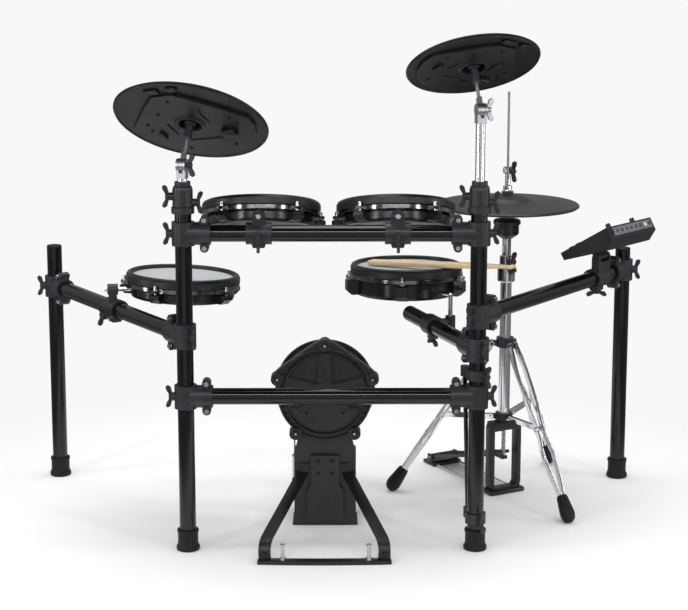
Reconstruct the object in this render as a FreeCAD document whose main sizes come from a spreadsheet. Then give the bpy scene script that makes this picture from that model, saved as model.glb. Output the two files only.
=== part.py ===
import FreeCAD, Part
import Sketcher
import math
import os
from FreeCAD import Placement, Rotation, Vector

# Driving dimensions of the drum kit, in millimetres and degrees.
# While building, X = Y = 0 lies midway between the two front posts, on the floor.
SIZES = {
    # rack tubes
    "tube_diameter": 38.0,
    "tube_wall": 2.0,
    "post_spacing": 666.0,
    "front_post_top": 848.0,
    "left_rear_post_top": 610.0,
    "right_rear_post_top": 607.0,
    "upper_bar_height": 744.0,
    "lower_bar_height": 366.0,
    "arm_length": 690.0,
    "left_arm_height": 508.0,
    "right_arm_height": 554.0,
    "left_arm_angle": 33.65,
    "right_arm_angle": 36.85,
    "snare_arm_height": 476.0,
    "snare_arm_length": 404.0,
    "snare_arm_angle": 20.0,
    "plug_flange": 4.0,
    "plug_depth": 14.0,
    # rubber feet
    "foot_base_diameter": 54.0,
    "foot_neck_diameter": 47.0,
    "foot_height": 50.0,
    "foot_sole": 6.0,
    # clearances
    "seat_gap": 0.2,
    "turn_gap": 0.3,
    # tee clamps
    "clamp_wall": 7.0,
    "clamp_height": 54.0,
    "bar_sleeve_length": 62.0,
    "bar_stop": 24.0,
    "ear_radius": 10.0,
    "ear_rise": 32.0,
    "ear_setback": 48.0,
    "ear_depth": 26.0,
    "boss_radius": 10.0,
    "boss_reach": 30.0,
    "clamp_bolt_drop": 12.0,
    "screw_diameter": 6.0,
    "screw_head_diameter": 11.0,
    "screw_head_height": 6.0,
    "wing_shank_diameter": 8.0,
    "wing_span": 52.0,
    "wing_rise": 16.0,
    "wing_thickness": 7.0,
    # brace rod beside the right front post
    "brace_diameter": 10.0,
    "brace_upper_height": 417.0,
    "brace_lower_height": 76.0,
    "brace_reach": 44.0,
    "brace_upper_angle": 126.0,
    "brace_lower_angle": 110.0,
    "collar_height": 24.0,
    # pole clamps and cymbal poles
    "pole_diameter": 22.0,
    "pole_wall": 1.5,
    "pole_clamp_drop": 58.0,
    "pole_clamp_neck": 14.0,
    "pole_insert": 150.0,
    "ride_tilter_height": 899.0,
    "crash_tilter_height": 1022.0,
    "tilter_radius": 15.0,
    "tilter_thickness": 9.0,
    "tilter_gap": 0.4,
    "stem_diameter": 8.0,
    "stem_reach": 121.0,
    # cymbal pads
    "ride_diameter": 356.0,
    "crash_diameter": 305.0,
    "hihat_diameter": 356.0,
    "ride_tilt": 34.0,
    "ride_turn": -15.0,
    "crash_tilt": 29.5,
    "crash_turn": 15.0,
    "pad_edge": 7.0,
    "pad_skin": 9.0,
    "pad_rise": 9.0,
    "bell_radius": 58.0,
    "bell_rise": 14.0,
    "pad_hole": 16.0,
    "back_plate_low": 5.0,
    "back_plate_thickness": 11.0,
    "back_plate_hole": 52.0,
    "ride_plate_turn": -13.0,
    "crash_plate_turn": 28.0,
    # drum pads
    "rim_diameter": 277.0,
    "rim_width": 13.0,
    "rim_height": 25.0,
    "rim_lip": 9.0,
    "shell_diameter": 252.0,
    "bearing_diameter": 238.0,
    "shell_wall": 3.0,
    "tom_depth": 62.0,
    "snare_depth": 78.0,
    "hoop_height": 9.0,
    "hoop_wall": 6.0,
    "lug_count": 5,
    "lug_width": 26.0,
    "lug_reach": 153.0,
    "rod_circle": 145.0,
    "rod_diameter": 7.0,
    "head_thickness": 1.2,
    "mount_rod_diameter": 10.5,
    "tom_mount_height": 786.0,
    "left_tom_x": -163.0,
    "right_tom_x": 150.0,
    "rack_tom_y": 158.0,
    "rack_tom_z": 790.0,
    "rack_tom_tilt": 17.5,
    "tom_clamp_length": 58.0,
    "floor_tom_x": -361.0,
    "floor_tom_y": 314.0,
    "floor_tom_z": 594.0,
    "floor_tom_roll": 3.0,
    "floor_tom_pitch": 2.5,
    "floor_clamp_reach": 351.0,
    "floor_rod_height": 556.0,
    "snare_x": 185.0,
    "snare_y": 400.0,
    "snare_z": 601.0,
    "snare_pitch": 2.5,
    "snare_clamp_reach": 261.0,
    "snare_rod_offset": 46.0,
    "snare_rod_height": 548.0,
    "stick_length": 392.0,
    "stick_diameter": 14.0,
    "stick_angle": -30.0,
    # hi-hat
    "hihat_x": 436.0,
    "hihat_y": 425.0,
    "hihat_turn": 29.0,
    "hihat_pad_height": 738.0,
    "pull_rod_top": 1023.0,
    "pull_rod_diameter": 6.0,
    "lower_tube_diameter": 28.0,
    "lower_tube_top": 580.0,
    "upper_tube_top": 658.0,
    "stand_tube_wall": 1.5,
    "controller_height": 50.0,
    "frame_top": 190.0,
    "frame_width": 92.0,
    "frame_post": 13.0,
    "frame_depth": 26.0,
    "frame_cap": 26.0,
    "frame_sole": 16.0,
    "collar_pivot_height": 390.0,
    "collar_pivot_radius": 34.0,
    "leg_foot_radius": 280.0,
    "boot_radius": 18.5,
    "boot_length": 70.0,
    "leg_rod_diameter": 8.0,
    "leg_rod_spread": 9.0,
    "brace_pivot_radius": 34.0,
    "brace_pivot_height": 200.0,
    "brace_joint_share": 0.5,
    "heel_distance": 285.0,
    "heel_height": 22.0,
    "toe_height": 94.0,
    "footboard_thickness": 8.0,
    # kick pad and its stand
    "kick_x": -16.0,
    "kick_centre_height": 329.0,
    "kick_back_y": 150.0,
    "kick_depth": 72.0,
    "kick_radius": 113.0,
    "kick_rod_circle": 119.0,
    "kick_lug_radius": 13.0,
    "neck_width": 148.0,
    "neck_thickness": 16.0,
    "neck_y": 166.0,
    "kick_base_width": 156.0,
    "kick_base_thickness": 9.0,
    "stand_top_height": 134.0,
    "stand_front_y": -95.0,
    "stand_front_length": 306.0,
    "stand_bar_width": 28.0,
    "stand_bar_thickness": 5.0,
    # kick pedal
    "pedal_front_y": 236.0,
    "pedal_length": 310.0,
    "pedal_width": 112.0,
    "pedal_sole": 8.0,
    "axle_y": 272.0,
    "axle_height": 190.0,
    "axle_diameter": 10.0,
    "pedal_post_offset": 58.0,
    "beater_angle": 38.0,
    "beater_length": 148.0,
    "beater_radius": 24.0,
    "spring_coils": 12,
    "spring_diameter": 13.0,
    "spring_wire": 1.8,
    "spring_length": 58.0,
    # sound module
    "module_x": 683.0,
    "module_y": 430.0,
    "module_z": 664.5,
    "module_width": 203.5,
    "module_depth": 152.5,
    "module_front": 20.0,
    "module_rear": 50.0,
    "module_wall": 3.0,
    "module_tilt": 31.0,
    "module_turn": 49.5,
    "panel_thickness": 3.0,
    "dial_diameter": 38.0,
    "dial_height": 11.0,
    "button_size": 11.0,
    "button_height": 3.5,
    "jack_count": 9,
    "jack_diameter": 9.0,
}

doc = FreeCAD.newDocument("electronic_drum_kit")
kit = doc.addObject("Spreadsheet::Sheet", "kit")
for row, (alias, amount) in enumerate(SIZES.items(), start=1):
    kit.set("A%d" % row, alias)
    kit.set("B%d" % row, str(amount))
    kit.setAlias("B%d" % row, alias)
doc.recompute()

NODES = []


def value(text):
    """The number that an expression over the sheet stands for."""
    return float(kit.evalExpression(str(text)))


def named(alias):
    return value("kit." + alias)


def at(x=0.0, y=0.0, z=0.0, axis=(0, 0, 1), angle=0.0):
    return Placement(Vector(x, y, z), Rotation(Vector(*axis), angle))


def facing(start, direction):
    """A place whose own Z axis points along a direction."""
    return Placement(Vector(start), Rotation(Vector(0, 0, 1), Vector(direction)))


def bind(piece, **expressions):
    for name, text in expressions.items():
        piece.setExpression(name, str(text))
    return piece


def cylinder(name, radius, height, place=Placement()):
    piece = bind(doc.addObject("Part::Cylinder", name), Radius=radius, Height=height)
    piece.Placement = place
    return piece


def cone(name, radius1, radius2, height, place=Placement()):
    piece = bind(doc.addObject("Part::Cone", name), Radius1=radius1, Radius2=radius2, Height=height)
    piece.Placement = place
    return piece


def ball(name, radius, place=Placement()):
    piece = bind(doc.addObject("Part::Sphere", name), Radius=radius)
    piece.Placement = place
    return piece


def block(name, length, width, height, place=Placement()):
    """A box centred on its place in X and Y and standing on it in Z."""
    piece = bind(doc.addObject("Part::Box", name), Length=length, Width=width, Height=height)
    piece.Placement = place * at(-value(length) / 2, -value(width) / 2)
    return piece


def fuse(name, pieces):
    joined = doc.addObject("Part::MultiFuse", name)
    joined.Shapes = pieces
    return joined


def cut(name, base, tools):
    result = doc.addObject("Part::Cut", name)
    result.Base = base
    result.Tool = tools[0] if len(tools) == 1 else fuse(name + "_tools", tools)
    return result


def copy_of(name, source, place):
    link = doc.addObject("App::Link", name)
    link.LinkedObject = source
    link.Placement = place
    return link


def polygon(body, name, role, points):
    """A closed outline whose corners are bound to the sheet, on one of the body's own planes."""
    sketch = body.newObject("Sketcher::SketchObject", name)
    plane = [feature for feature in body.Origin.OriginFeatures if feature.Role == role][0]
    sketch.AttachmentSupport = [(plane, "")]
    sketch.MapMode = "FlatFace"
    corners = [Vector(value(x), value(y), 0) for x, y in points]
    count = len(corners)
    for index in range(count):
        sketch.addGeometry(Part.LineSegment(corners[index], corners[(index + 1) % count]), False)
    for index in range(count):
        sketch.addConstraint(Sketcher.Constraint("Coincident", index, 2, (index + 1) % count, 1))
    for index, corner in enumerate(points):
        for kind, text in zip(("DistanceX", "DistanceY"), corner):
            rule = sketch.addConstraint(Sketcher.Constraint(kind, -1, 1, index, 1, value(text)))
            sketch.setExpression("Constraints[%d]" % rule, str(text))
    return sketch


def turned(name, profile, place=Placement()):
    """A body of revolution about its own Z axis from (radius, height) corners."""
    body = doc.addObject("PartDesign::Body", name)
    sketch = polygon(body, name + "_profile", "XZ_Plane", profile)
    turn = body.newObject("PartDesign::Revolution", name + "_turn")
    turn.Profile = sketch
    turn.ReferenceAxis = (sketch, ["V_Axis"])
    turn.Angle = 360
    body.Placement = place
    return body


def prism(name, outline, height, place=Placement()):
    """An outline in XY padded along its own Z axis."""
    body = doc.addObject("PartDesign::Body", name)
    pad = body.newObject("PartDesign::Pad", name + "_pad")
    pad.Profile = polygon(body, name + "_outline", "XY_Plane", outline)
    bind(pad, Length=height)
    body.Placement = place
    return body


def bar(name, start, end, radius):
    """A round bar between two points."""
    span = Vector(end) - Vector(start)
    return cylinder(name, radius, span.Length, facing(start, span))


def flat_bar(name, start, end, width, thickness, across):
    """A flat bar between two points, whose width runs along a direction across it."""
    span = Vector(end) - Vector(start)
    along = Vector(span).normalize()
    side = Vector(across) - along * along.dot(Vector(across))
    turn = Rotation(side, along.cross(side), along, "ZXY")
    return block(name, width, thickness, span.Length, Placement(Vector(start), turn))


def tube(name, start, end, diameter, wall):
    outer = bar(name + "_outside", start, end, "%s / 2" % diameter)
    bore = bar(name + "_bore", start, end, "%s / 2 - %s" % (diameter, wall))
    return cut(name, outer, [bore])


def node(label, pieces, place=None):
    """Pieces that share one file, as a group of separate solids."""
    if len(pieces) == 1 and place is None:
        group = pieces[0]
    else:
        group = doc.addObject("Part::Compound", label + "_group")
        group.Links = pieces
        if place is not None:
            group.Placement = place
    group.Label = label
    NODES.append(group)
    return group


POST_X = named("post_spacing") / 2
TUBE_R = "kit.tube_diameter / 2"
TUBE_RADIUS = value(TUBE_R)
CLAMP_R = "kit.tube_diameter / 2 + kit.clamp_wall"
CLAMP_RADIUS = value(CLAMP_R)
SEAT = "kit.tube_diameter / 2 + kit.seat_gap"
TURNING = "kit.tube_diameter / 2 + kit.turn_gap"


# Fasteners that the rack clamps share

def wing_bolt(name, reach, place):
    """A wing bolt whose shank starts at its place and runs along Z to the wing."""
    shank = cylinder(name + "_shank", "kit.wing_shank_diameter / 2", reach)
    hub = cylinder(name + "_hub", "kit.wing_shank_diameter / 2 + 3", "kit.wing_rise * 0.55",
                   at(z=value(reach)))
    half = "kit.wing_span / 2"
    rise = "kit.wing_rise"
    wing = prism(name + "_wing", [
        ("-5", "0"), ("5", "0"), (half + " * 0.85", rise + " * 0.3"), (half, rise + " * 0.7"),
        (half + " * 0.86", rise), (half + " * 0.6", rise + " * 0.9"), ("5", rise + " * 0.5"),
        ("-5", rise + " * 0.5"), ("-" + half + " * 0.6", rise + " * 0.9"), ("-" + half + " * 0.86", rise),
        ("-" + half, rise + " * 0.7"), ("-" + half + " * 0.85", rise + " * 0.3")],
        "kit.wing_thickness",
        at(0, named("wing_thickness") / 2, value(reach), (1, 0, 0), 90))
    joined = fuse(name, [shank, hub, wing])
    joined.Placement = place
    return joined


def clamp_screw(name, grip, place):
    """A screw with its head at its place, a shank along Z through the grip, and a nut."""
    head = cylinder(name + "_head", "kit.screw_head_diameter / 2", "kit.screw_head_height",
                    at(z=-named("screw_head_height")))
    shank = cylinder(name + "_shank", "kit.screw_diameter / 2", grip)
    nut = bind(doc.addObject("Part::Prism", name + "_nut"), Polygon=6,
               Circumradius="kit.screw_head_diameter / 2", Height="kit.screw_head_height * 0.8")
    nut.Placement = at(z=value(grip))
    joined = fuse(name, [head, shank, nut])
    joined.Placement = place
    return joined


SCREW_HOLE = "kit.screw_diameter / 2 + kit.seat_gap"
WING_HOLE = "kit.wing_shank_diameter / 2 + kit.seat_gap"
WING_REACH = "kit.boss_reach - kit.tube_diameter / 2 - kit.turn_gap - kit.seat_gap"


def tee_clamp(name, place, post_bore, wing_turn=0.0):
    """A tee clamp: a sleeve on an upright post and a split sleeve for a tube along its own X axis."""
    spin = at(angle=wing_turn)
    half = named("clamp_height") / 2
    setback, rise, depth = named("ear_setback"), named("ear_rise"), named("ear_depth")
    solids = [
        cylinder(name + "_post_sleeve", CLAMP_R, "kit.clamp_height", at(z=-half)),
        cylinder(name + "_bar_sleeve", CLAMP_R, "kit.bar_sleeve_length", facing((0, 0, 0), (1, 0, 0))),
        cylinder(name + "_boss", "kit.boss_radius", "kit.boss_reach", spin * facing((0, 0, 0), (-1, 0, 0)))]
    tools = [
        cylinder(name + "_post_bore", post_bore, "kit.clamp_height + 2", at(z=-half - 1)),
        cylinder(name + "_bar_bore", SEAT, "kit.bar_sleeve_length",
                 facing((named("bar_stop"), 0, 0), (1, 0, 0))),
        cylinder(name + "_wing_hole", WING_HOLE, "kit.boss_reach + 2", spin * facing((0, 0, 0), (-1, 0, 0)))]
    fasteners = [wing_bolt(name + "_wing_bolt", WING_REACH,
                           place * spin * at(-TUBE_RADIUS - named("turn_gap") - named("seat_gap"), 0, 0,
                                             (0, 1, 0), -90))]
    for side in (-1, 1):
        ear = "%s_ear_%s" % (name, "low" if side < 0 else "high")
        front = (setback, -depth / 2, side * rise)
        solids.append(cylinder(ear, "kit.ear_radius", "kit.ear_depth", facing(front, (0, 1, 0))))
        solids.append(block(ear + "_web", "kit.ear_radius * 2", "kit.ear_depth", "kit.ear_rise",
                            at(setback, 0, min(0.0, side * rise))))
        tools.append(cylinder(ear + "_hole", SCREW_HOLE, "kit.ear_depth + 2",
                              facing((setback, -depth / 2 - 1, side * rise), (0, 1, 0))))
        fasteners.append(clamp_screw(ear + "_screw", "kit.ear_depth", place * facing(front, (0, 1, 0))))
    clamp = cut(name, fuse(name + "_solid", solids), tools)
    clamp.Placement = place
    return clamp, fasteners


def tube_plug(name, place):
    """A plastic plug in a tube's open end, its flange outwards along Z."""
    return turned(name, [("0", "0"), ("kit.tube_diameter / 2 - kit.tube_wall - kit.seat_gap", "0"),
                         ("kit.tube_diameter / 2 - kit.tube_wall - kit.seat_gap", "kit.plug_depth"),
                         (TUBE_R, "kit.plug_depth"),
                         (TUBE_R, "kit.plug_depth + kit.plug_flange * 0.6"),
                         (TUBE_R + " - 2", "kit.plug_depth + kit.plug_flange"),
                         ("0", "kit.plug_depth + kit.plug_flange")], place * at(z=-named("plug_depth")))


def rubber_foot(name, x, y):
    """A flared rubber foot round the bottom of a post."""
    base, neck = "kit.foot_base_diameter / 2", "kit.foot_neck_diameter / 2"
    return turned(name, [("0", "0"), (base + " - 2", "0"), (base, "2"), (base, "9"), (base + " - 2.5", "13"),
                         (neck, "18"), (neck, "kit.foot_height - 9"),
                         (neck + " + 1.5", "kit.foot_height - 7"),
                         (neck + " + 1.5", "kit.foot_height - 1.5"), (neck, "kit.foot_height"),
                         (SEAT, "kit.foot_height"), (SEAT, "kit.foot_sole"), ("0", "kit.foot_sole")],
                         at(x, y))


def direction(angle):
    return Vector(math.cos(math.radians(angle)), math.sin(math.radians(angle)), 0)


# Rack: front posts, crossbars and their clamps

SOLE = named("foot_sole")
sides = {"left": -1, "right": 1}
posts = [tube(side + "_post", (sign * POST_X, 0, SOLE), (sign * POST_X, 0, named("front_post_top")),
              "kit.tube_diameter", "kit.tube_wall") for side, sign in sides.items()]
node("front_posts", posts)

bar_end = POST_X - named("bar_stop") - named("seat_gap")
bars = [tube(level + "_crossbar", (-bar_end, 0, named(level + "_bar_height")),
             (bar_end, 0, named(level + "_bar_height")),
             "kit.tube_diameter", "kit.tube_wall") for level in ("upper", "lower")]
node("crossbars", bars)
node("front_feet", [rubber_foot(side + "_front_foot", sign * POST_X, 0) for side, sign in sides.items()])

rack_clamps = []
rack_bolts = []
for side, sign in sides.items():
    for level in ("upper", "lower"):
        spot = at(sign * POST_X, 0, named(level + "_bar_height"), (0, 0, 1), 0 if sign < 0 else 180)
        clamp, fasteners = tee_clamp("%s_%s_tee" % (level, side), spot, SEAT)
        rack_clamps.append(clamp)
        rack_bolts.extend(fasteners)


def post_collar(name, height, angle):
    """A collar on the right front post with an ear that holds an end of the brace rod."""
    reach = named("brace_reach")
    depth = named("collar_height")
    ring = cylinder(name + "_ring", CLAMP_R + " - 2", "kit.collar_height", at(z=-depth / 2))
    lobe = cylinder(name + "_lobe", "kit.brace_diameter / 2 + 5", "kit.collar_height",
                    at(reach, 0, -depth / 2))
    web = block(name + "_web", "kit.brace_reach", "kit.brace_diameter + 6", "kit.collar_height",
                at(reach / 2, 0, -depth / 2))
    boss = cylinder(name + "_boss", "kit.boss_radius - 1", "kit.boss_reach", facing((0, 0, 0), (-1, 0, 0)))
    tools = [cylinder(name + "_bore", SEAT, "kit.collar_height + 2", at(z=-depth / 2 - 1)),
             cylinder(name + "_socket", "kit.brace_diameter / 2 + 0.7", "kit.collar_height + 2",
                      at(reach, 0, -depth / 2 - 1)),
             cylinder(name + "_hole", WING_HOLE, "kit.boss_reach + 2", facing((0, 0, 0), (-1, 0, 0)))]
    spot = at(POST_X, 0, height, (0, 0, 1), angle)
    collar = cut(name, fuse(name + "_solid", [ring, lobe, web, boss]), tools)
    collar.Placement = spot
    bolt = wing_bolt(name + "_wing_bolt", WING_REACH,
                     spot * at(-TUBE_RADIUS - named("turn_gap") - named("seat_gap"), 0, 0, (0, 1, 0), -90))
    end = Vector(POST_X, 0, height) + direction(angle) * reach
    return collar, bolt, end


brace_ends = []
for level in ("upper", "lower"):
    collar, bolt, end = post_collar(level + "_brace_collar", named("brace_%s_height" % level),
                                    named("brace_%s_angle" % level))
    rack_clamps.append(collar)
    rack_bolts.append(bolt)
    brace_ends.append(end)
overrun = (brace_ends[0] - brace_ends[1]).normalize() * (named("collar_height") / 2)
node("brace_rod", [bar("brace_rod_bar", brace_ends[1] - overrun, brace_ends[0] + overrun,
                       "kit.brace_diameter / 2")])


def pole_clamp(name, x):
    """A clamp that grips the top of a front post and the cymbal pole that slides in it."""
    top = named("front_post_top")
    drop = named("pole_clamp_drop")
    neck = "kit.pole_diameter / 2 + 7"
    bell = "kit.pole_clamp_drop"
    body = turned(name + "_body", [
        (SEAT, "0"), (CLAMP_R + " - 1", "0"), (CLAMP_R, "2"), (CLAMP_R, "14"), (CLAMP_R + " - 3", "17"),
        (CLAMP_R + " - 3", bell + " - 4"), (neck + " + 3", bell + " + 3"), (neck, bell + " + 5"),
        (neck, bell + " + kit.pole_clamp_neck"), ("kit.pole_diameter / 2 + kit.turn_gap",
                                                  bell + " + kit.pole_clamp_neck"),
        ("kit.pole_diameter / 2 + kit.turn_gap", bell + " + kit.seat_gap"), (SEAT, bell + " + kit.seat_gap")])
    body.Placement = at(x, 0, top - drop)
    solids = [body]
    tools = []
    bolts = []
    for label, sign, level in (("left", -1, 0.66), ("right", 1, 0.42)):
        height = top - drop + drop * level
        solids.append(cylinder("%s_%s_boss" % (name, label), "kit.boss_radius - 1", "kit.boss_reach",
                               facing((x, 0, height), (sign, 0, 0))))
        tools.append(cylinder("%s_%s_hole" % (name, label), WING_HOLE, "kit.boss_reach + 2",
                              facing((x, 0, height), (sign, 0, 0))))
        start = x + sign * (TUBE_RADIUS + named("turn_gap") + named("seat_gap"))
        bolts.append(wing_bolt("%s_%s_wing_bolt" % (name, label), WING_REACH,
                               facing((start, 0, height), (sign, 0, 0))))
    tools.append(cylinder(name + "_bore", SEAT, "kit.pole_clamp_drop", at(x, 0, top - drop)))
    return cut(name, fuse(name + "_solid", solids), tools), bolts


for side, sign in sides.items():
    clamp, bolts = pole_clamp(side + "_pole_clamp", sign * POST_X)
    rack_clamps.append(clamp)
    rack_bolts.extend(bolts)

ROD_HOLE = "kit.mount_rod_diameter / 2 + kit.turn_gap"


def tube_clamp(name, knuckle_rise, knuckle_turn, place, front=-1, side_wing=False):
    """A pad clamp on a tube along X: a sleeve with a wing bolt in front and an eyebolt knuckle above."""
    length = named("tom_clamp_length")
    rise = value(knuckle_rise)
    low = named("clamp_bolt_drop")
    ahead = (0, front, 0)
    sleeve = cylinder(name + "_sleeve", CLAMP_R + " - 1", "kit.tom_clamp_length",
                      facing((-length / 2, 0, 0), (1, 0, 0)))
    turn = at(angle=knuckle_turn)
    boss = cylinder(name + "_boss", "kit.boss_radius + 2", "kit.boss_reach", facing((0, 0, -low), ahead))
    chin = prism(name + "_chin", [("-24", "0"), ("24", "0"), ("13", "-kit.ear_rise"),
                                  ("-13", "-kit.ear_rise")],
                 "kit.ear_depth * 0.8", at(0, named("ear_depth") * 0.4, 0, (1, 0, 0), 90))
    knuckle = cylinder(name + "_knuckle", "kit.mount_rod_diameter / 2 + 8", "kit.ear_depth",
                       turn * facing((0, -named("ear_depth") / 2 - 4, rise), (0, 1, 0)))
    cheek_width = "kit.mount_rod_diameter + 20"
    cheeks = block(name + "_cheeks", cheek_width, "kit.ear_depth - 6", knuckle_rise, turn * at(0, -4, 0))
    tools = [cylinder(name + "_bore", SEAT, "kit.tom_clamp_length + 2",
                      facing((-length / 2 - 1, 0, 0), (1, 0, 0))),
             cylinder(name + "_rod_hole", ROD_HOLE, "kit.ear_depth * 3",
                      turn * facing((0, -named("ear_depth") * 1.5, rise), (0, 1, 0))),
             cylinder(name + "_bolt_hole", WING_HOLE, "kit.boss_reach + 2", facing((0, 0, -low), ahead))]
    start = TUBE_RADIUS + named("seat_gap") + named("turn_gap")
    upright = at(angle=90)
    bolts = [wing_bolt(name + "_wing_bolt", WING_REACH,
                       place * facing((0, front * start, -low), ahead) * upright)]
    if side_wing:
        inner = named("mount_rod_diameter") / 2 + 1.5
        outer = value(cheek_width) / 2
        spot = turn * facing((inner, -4, rise - 16), (1, 0, 0))
        tools.append(cylinder(name + "_side_hole", WING_HOLE, 30, spot))
        bolts.append(wing_bolt(name + "_side_bolt", outer - inner, place * spot))
    clamp = cut(name, fuse(name + "_solid", [sleeve, boss, chin, knuckle, cheeks]), tools)
    clamp.Placement = place
    return clamp, bolts


for side in sides:
    spot = at(named(side + "_tom_x"), 0, named("upper_bar_height"))
    clamp, bolts = tube_clamp(side + "_tom_clamp", "kit.tom_mount_height - kit.upper_bar_height", 0, spot)
    rack_clamps.append(clamp)
    rack_bolts.extend(bolts)


# Side wings and snare arm, each hung on a front post

def wing(side, post, azimuth, height, outward):
    """A side arm with its rear post, foot and two tee clamps; the rear wing bolt points outward."""
    along = direction(azimuth)
    reach = named("arm_length")
    top = named(side + "_rear_post_top")
    stop = named("bar_stop") + named("seat_gap")
    front = Vector(post[0], post[1], height)
    rear = front + along * reach
    arm = tube(side + "_side_arm", front + along * stop, front + along * (reach - stop),
               "kit.tube_diameter", "kit.tube_wall")
    upright = tube(side + "_rear_post", (rear.x, rear.y, SOLE), (rear.x, rear.y, top),
                   "kit.tube_diameter", "kit.tube_wall")
    node(side + "_wing_tubes", [arm, upright])
    node(side + "_rear_foot", [rubber_foot(side + "_rear_foot_boot", rear.x, rear.y),
                               tube_plug(side + "_rear_plug", at(rear.x, rear.y, top))])
    front_clamp, front_bolts = tee_clamp(side + "_front_tee",
                                         at(front.x, front.y, height, (0, 0, 1), azimuth), TURNING)
    rear_clamp, rear_bolts = tee_clamp(side + "_rear_tee",
                                       at(rear.x, rear.y, height, (0, 0, 1), azimuth + 180), SEAT,
                                       outward - azimuth)
    return [front_clamp, rear_clamp] + front_bolts + rear_bolts


LEFT_AZIMUTH = 90 + named("left_arm_angle")
RIGHT_AZIMUTH = 90 - named("right_arm_angle")
left_clamps = wing("left", (-POST_X, 0), LEFT_AZIMUTH, named("left_arm_height"), 180)
right_clamps = wing("right", (POST_X, 0), RIGHT_AZIMUTH, named("right_arm_height"), 0)

left_root = Vector(-POST_X, 0, named("left_arm_height"))
FLOOR_CLAMP = left_root + direction(LEFT_AZIMUTH) * named("floor_clamp_reach")
FLOOR_TOM = Vector(named("floor_tom_x"), named("floor_tom_y"), named("floor_tom_z"))
floor_rod_angle = math.degrees(math.atan2(FLOOR_TOM.y - FLOOR_CLAMP.y, FLOOR_TOM.x - FLOOR_CLAMP.x))
floor_spot = at(FLOOR_CLAMP.x, FLOOR_CLAMP.y, FLOOR_CLAMP.z, (0, 0, 1), LEFT_AZIMUTH)
clamp, bolts = tube_clamp("floor_tom_clamp", "kit.floor_rod_height - kit.left_arm_height",
                          floor_rod_angle - 90 - LEFT_AZIMUTH, floor_spot, 1)
node("left_wing_clamps", left_clamps + [clamp] + bolts)

SNARE_AZIMUTH = 90 + named("snare_arm_angle")
snare_along = direction(SNARE_AZIMUTH)
snare_root = Vector(POST_X, 0, named("snare_arm_height"))
snare_start = snare_root + snare_along * (named("bar_stop") + named("seat_gap"))
snare_tip = snare_root + snare_along * named("snare_arm_length")
node("snare_arm_tube", [
    tube("snare_arm_pipe", snare_start, snare_tip, "kit.tube_diameter", "kit.tube_wall"),
    tube_plug("snare_arm_plug", facing(snare_tip, snare_along))])
snare_tee, snare_bolts = tee_clamp("snare_arm_tee", at(snare_root.x, 0, snare_root.z, (0, 0, 1),
                                                       SNARE_AZIMUTH), TURNING)


def rod_clamp(name, place):
    """A clamp on the snare arm, along X, whose side boss holds the upright end of the snare's L-rod."""
    length = named("tom_clamp_length") * 0.75
    offset = named("snare_rod_offset")
    sleeve = cylinder(name + "_sleeve", CLAMP_R + " - 1", "kit.tom_clamp_length * 0.75",
                      facing((-length / 2, 0, 0), (1, 0, 0)))
    boss = cylinder(name + "_boss", "kit.mount_rod_diameter / 2 + 7", "kit.clamp_height * 0.75",
                    at(0, -offset, -named("clamp_height") * 0.375))
    web = block(name + "_web", "kit.mount_rod_diameter + 8", "kit.snare_rod_offset", "kit.clamp_height * 0.5",
                at(0, -offset / 2, -named("clamp_height") * 0.25))
    lower = block(name + "_lower_block", "kit.tom_clamp_length * 0.4", "kit.ear_depth * 0.7", "kit.ear_rise",
                  at(z=-named("ear_rise")))
    tools = [cylinder(name + "_bore", SEAT, "kit.tom_clamp_length",
                      facing((-length / 2 - 1, 0, 0), (1, 0, 0))),
             cylinder(name + "_rod_hole", ROD_HOLE, "kit.clamp_height",
                      at(0, -offset, -named("clamp_height") / 2)),
             cylinder(name + "_bolt_hole", WING_HOLE, "kit.ear_rise + 6",
                      facing((0, 0, -TUBE_RADIUS), (0, 0, -1)))]
    clamp = cut(name, fuse(name + "_solid", [sleeve, boss, web, lower]), tools)
    clamp.Placement = place
    start = -TUBE_RADIUS - named("seat_gap") - named("turn_gap")
    bolt = wing_bolt(name + "_wing_bolt", "kit.ear_rise - kit.tube_diameter / 2",
                     place * at(0, 0, start, (1, 0, 0), 180))
    return clamp, bolt


snare_grip = snare_root + snare_along * named("snare_clamp_reach")
snare_grip_place = at(snare_grip.x, snare_grip.y, snare_grip.z, (0, 0, 1), SNARE_AZIMUTH)
clamp, bolt = rod_clamp("snare_rod_clamp", snare_grip_place)
node("snare_arm_clamps", [snare_tee, clamp, bolt] + snare_bolts)
SNARE_ROD = snare_grip_place.multVec(Vector(0, -named("snare_rod_offset"), 0))


# Drum pads, each built standing on its shell floor

LUGS = int(named("lug_count"))
INSIDE_R = "kit.bearing_diameter / 2 - kit.shell_wall"


def around(count, start=0.0):
    """Evenly spaced turns about Z."""
    return [at(angle=start + 360.0 * index / count) for index in range(count)]


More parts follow.
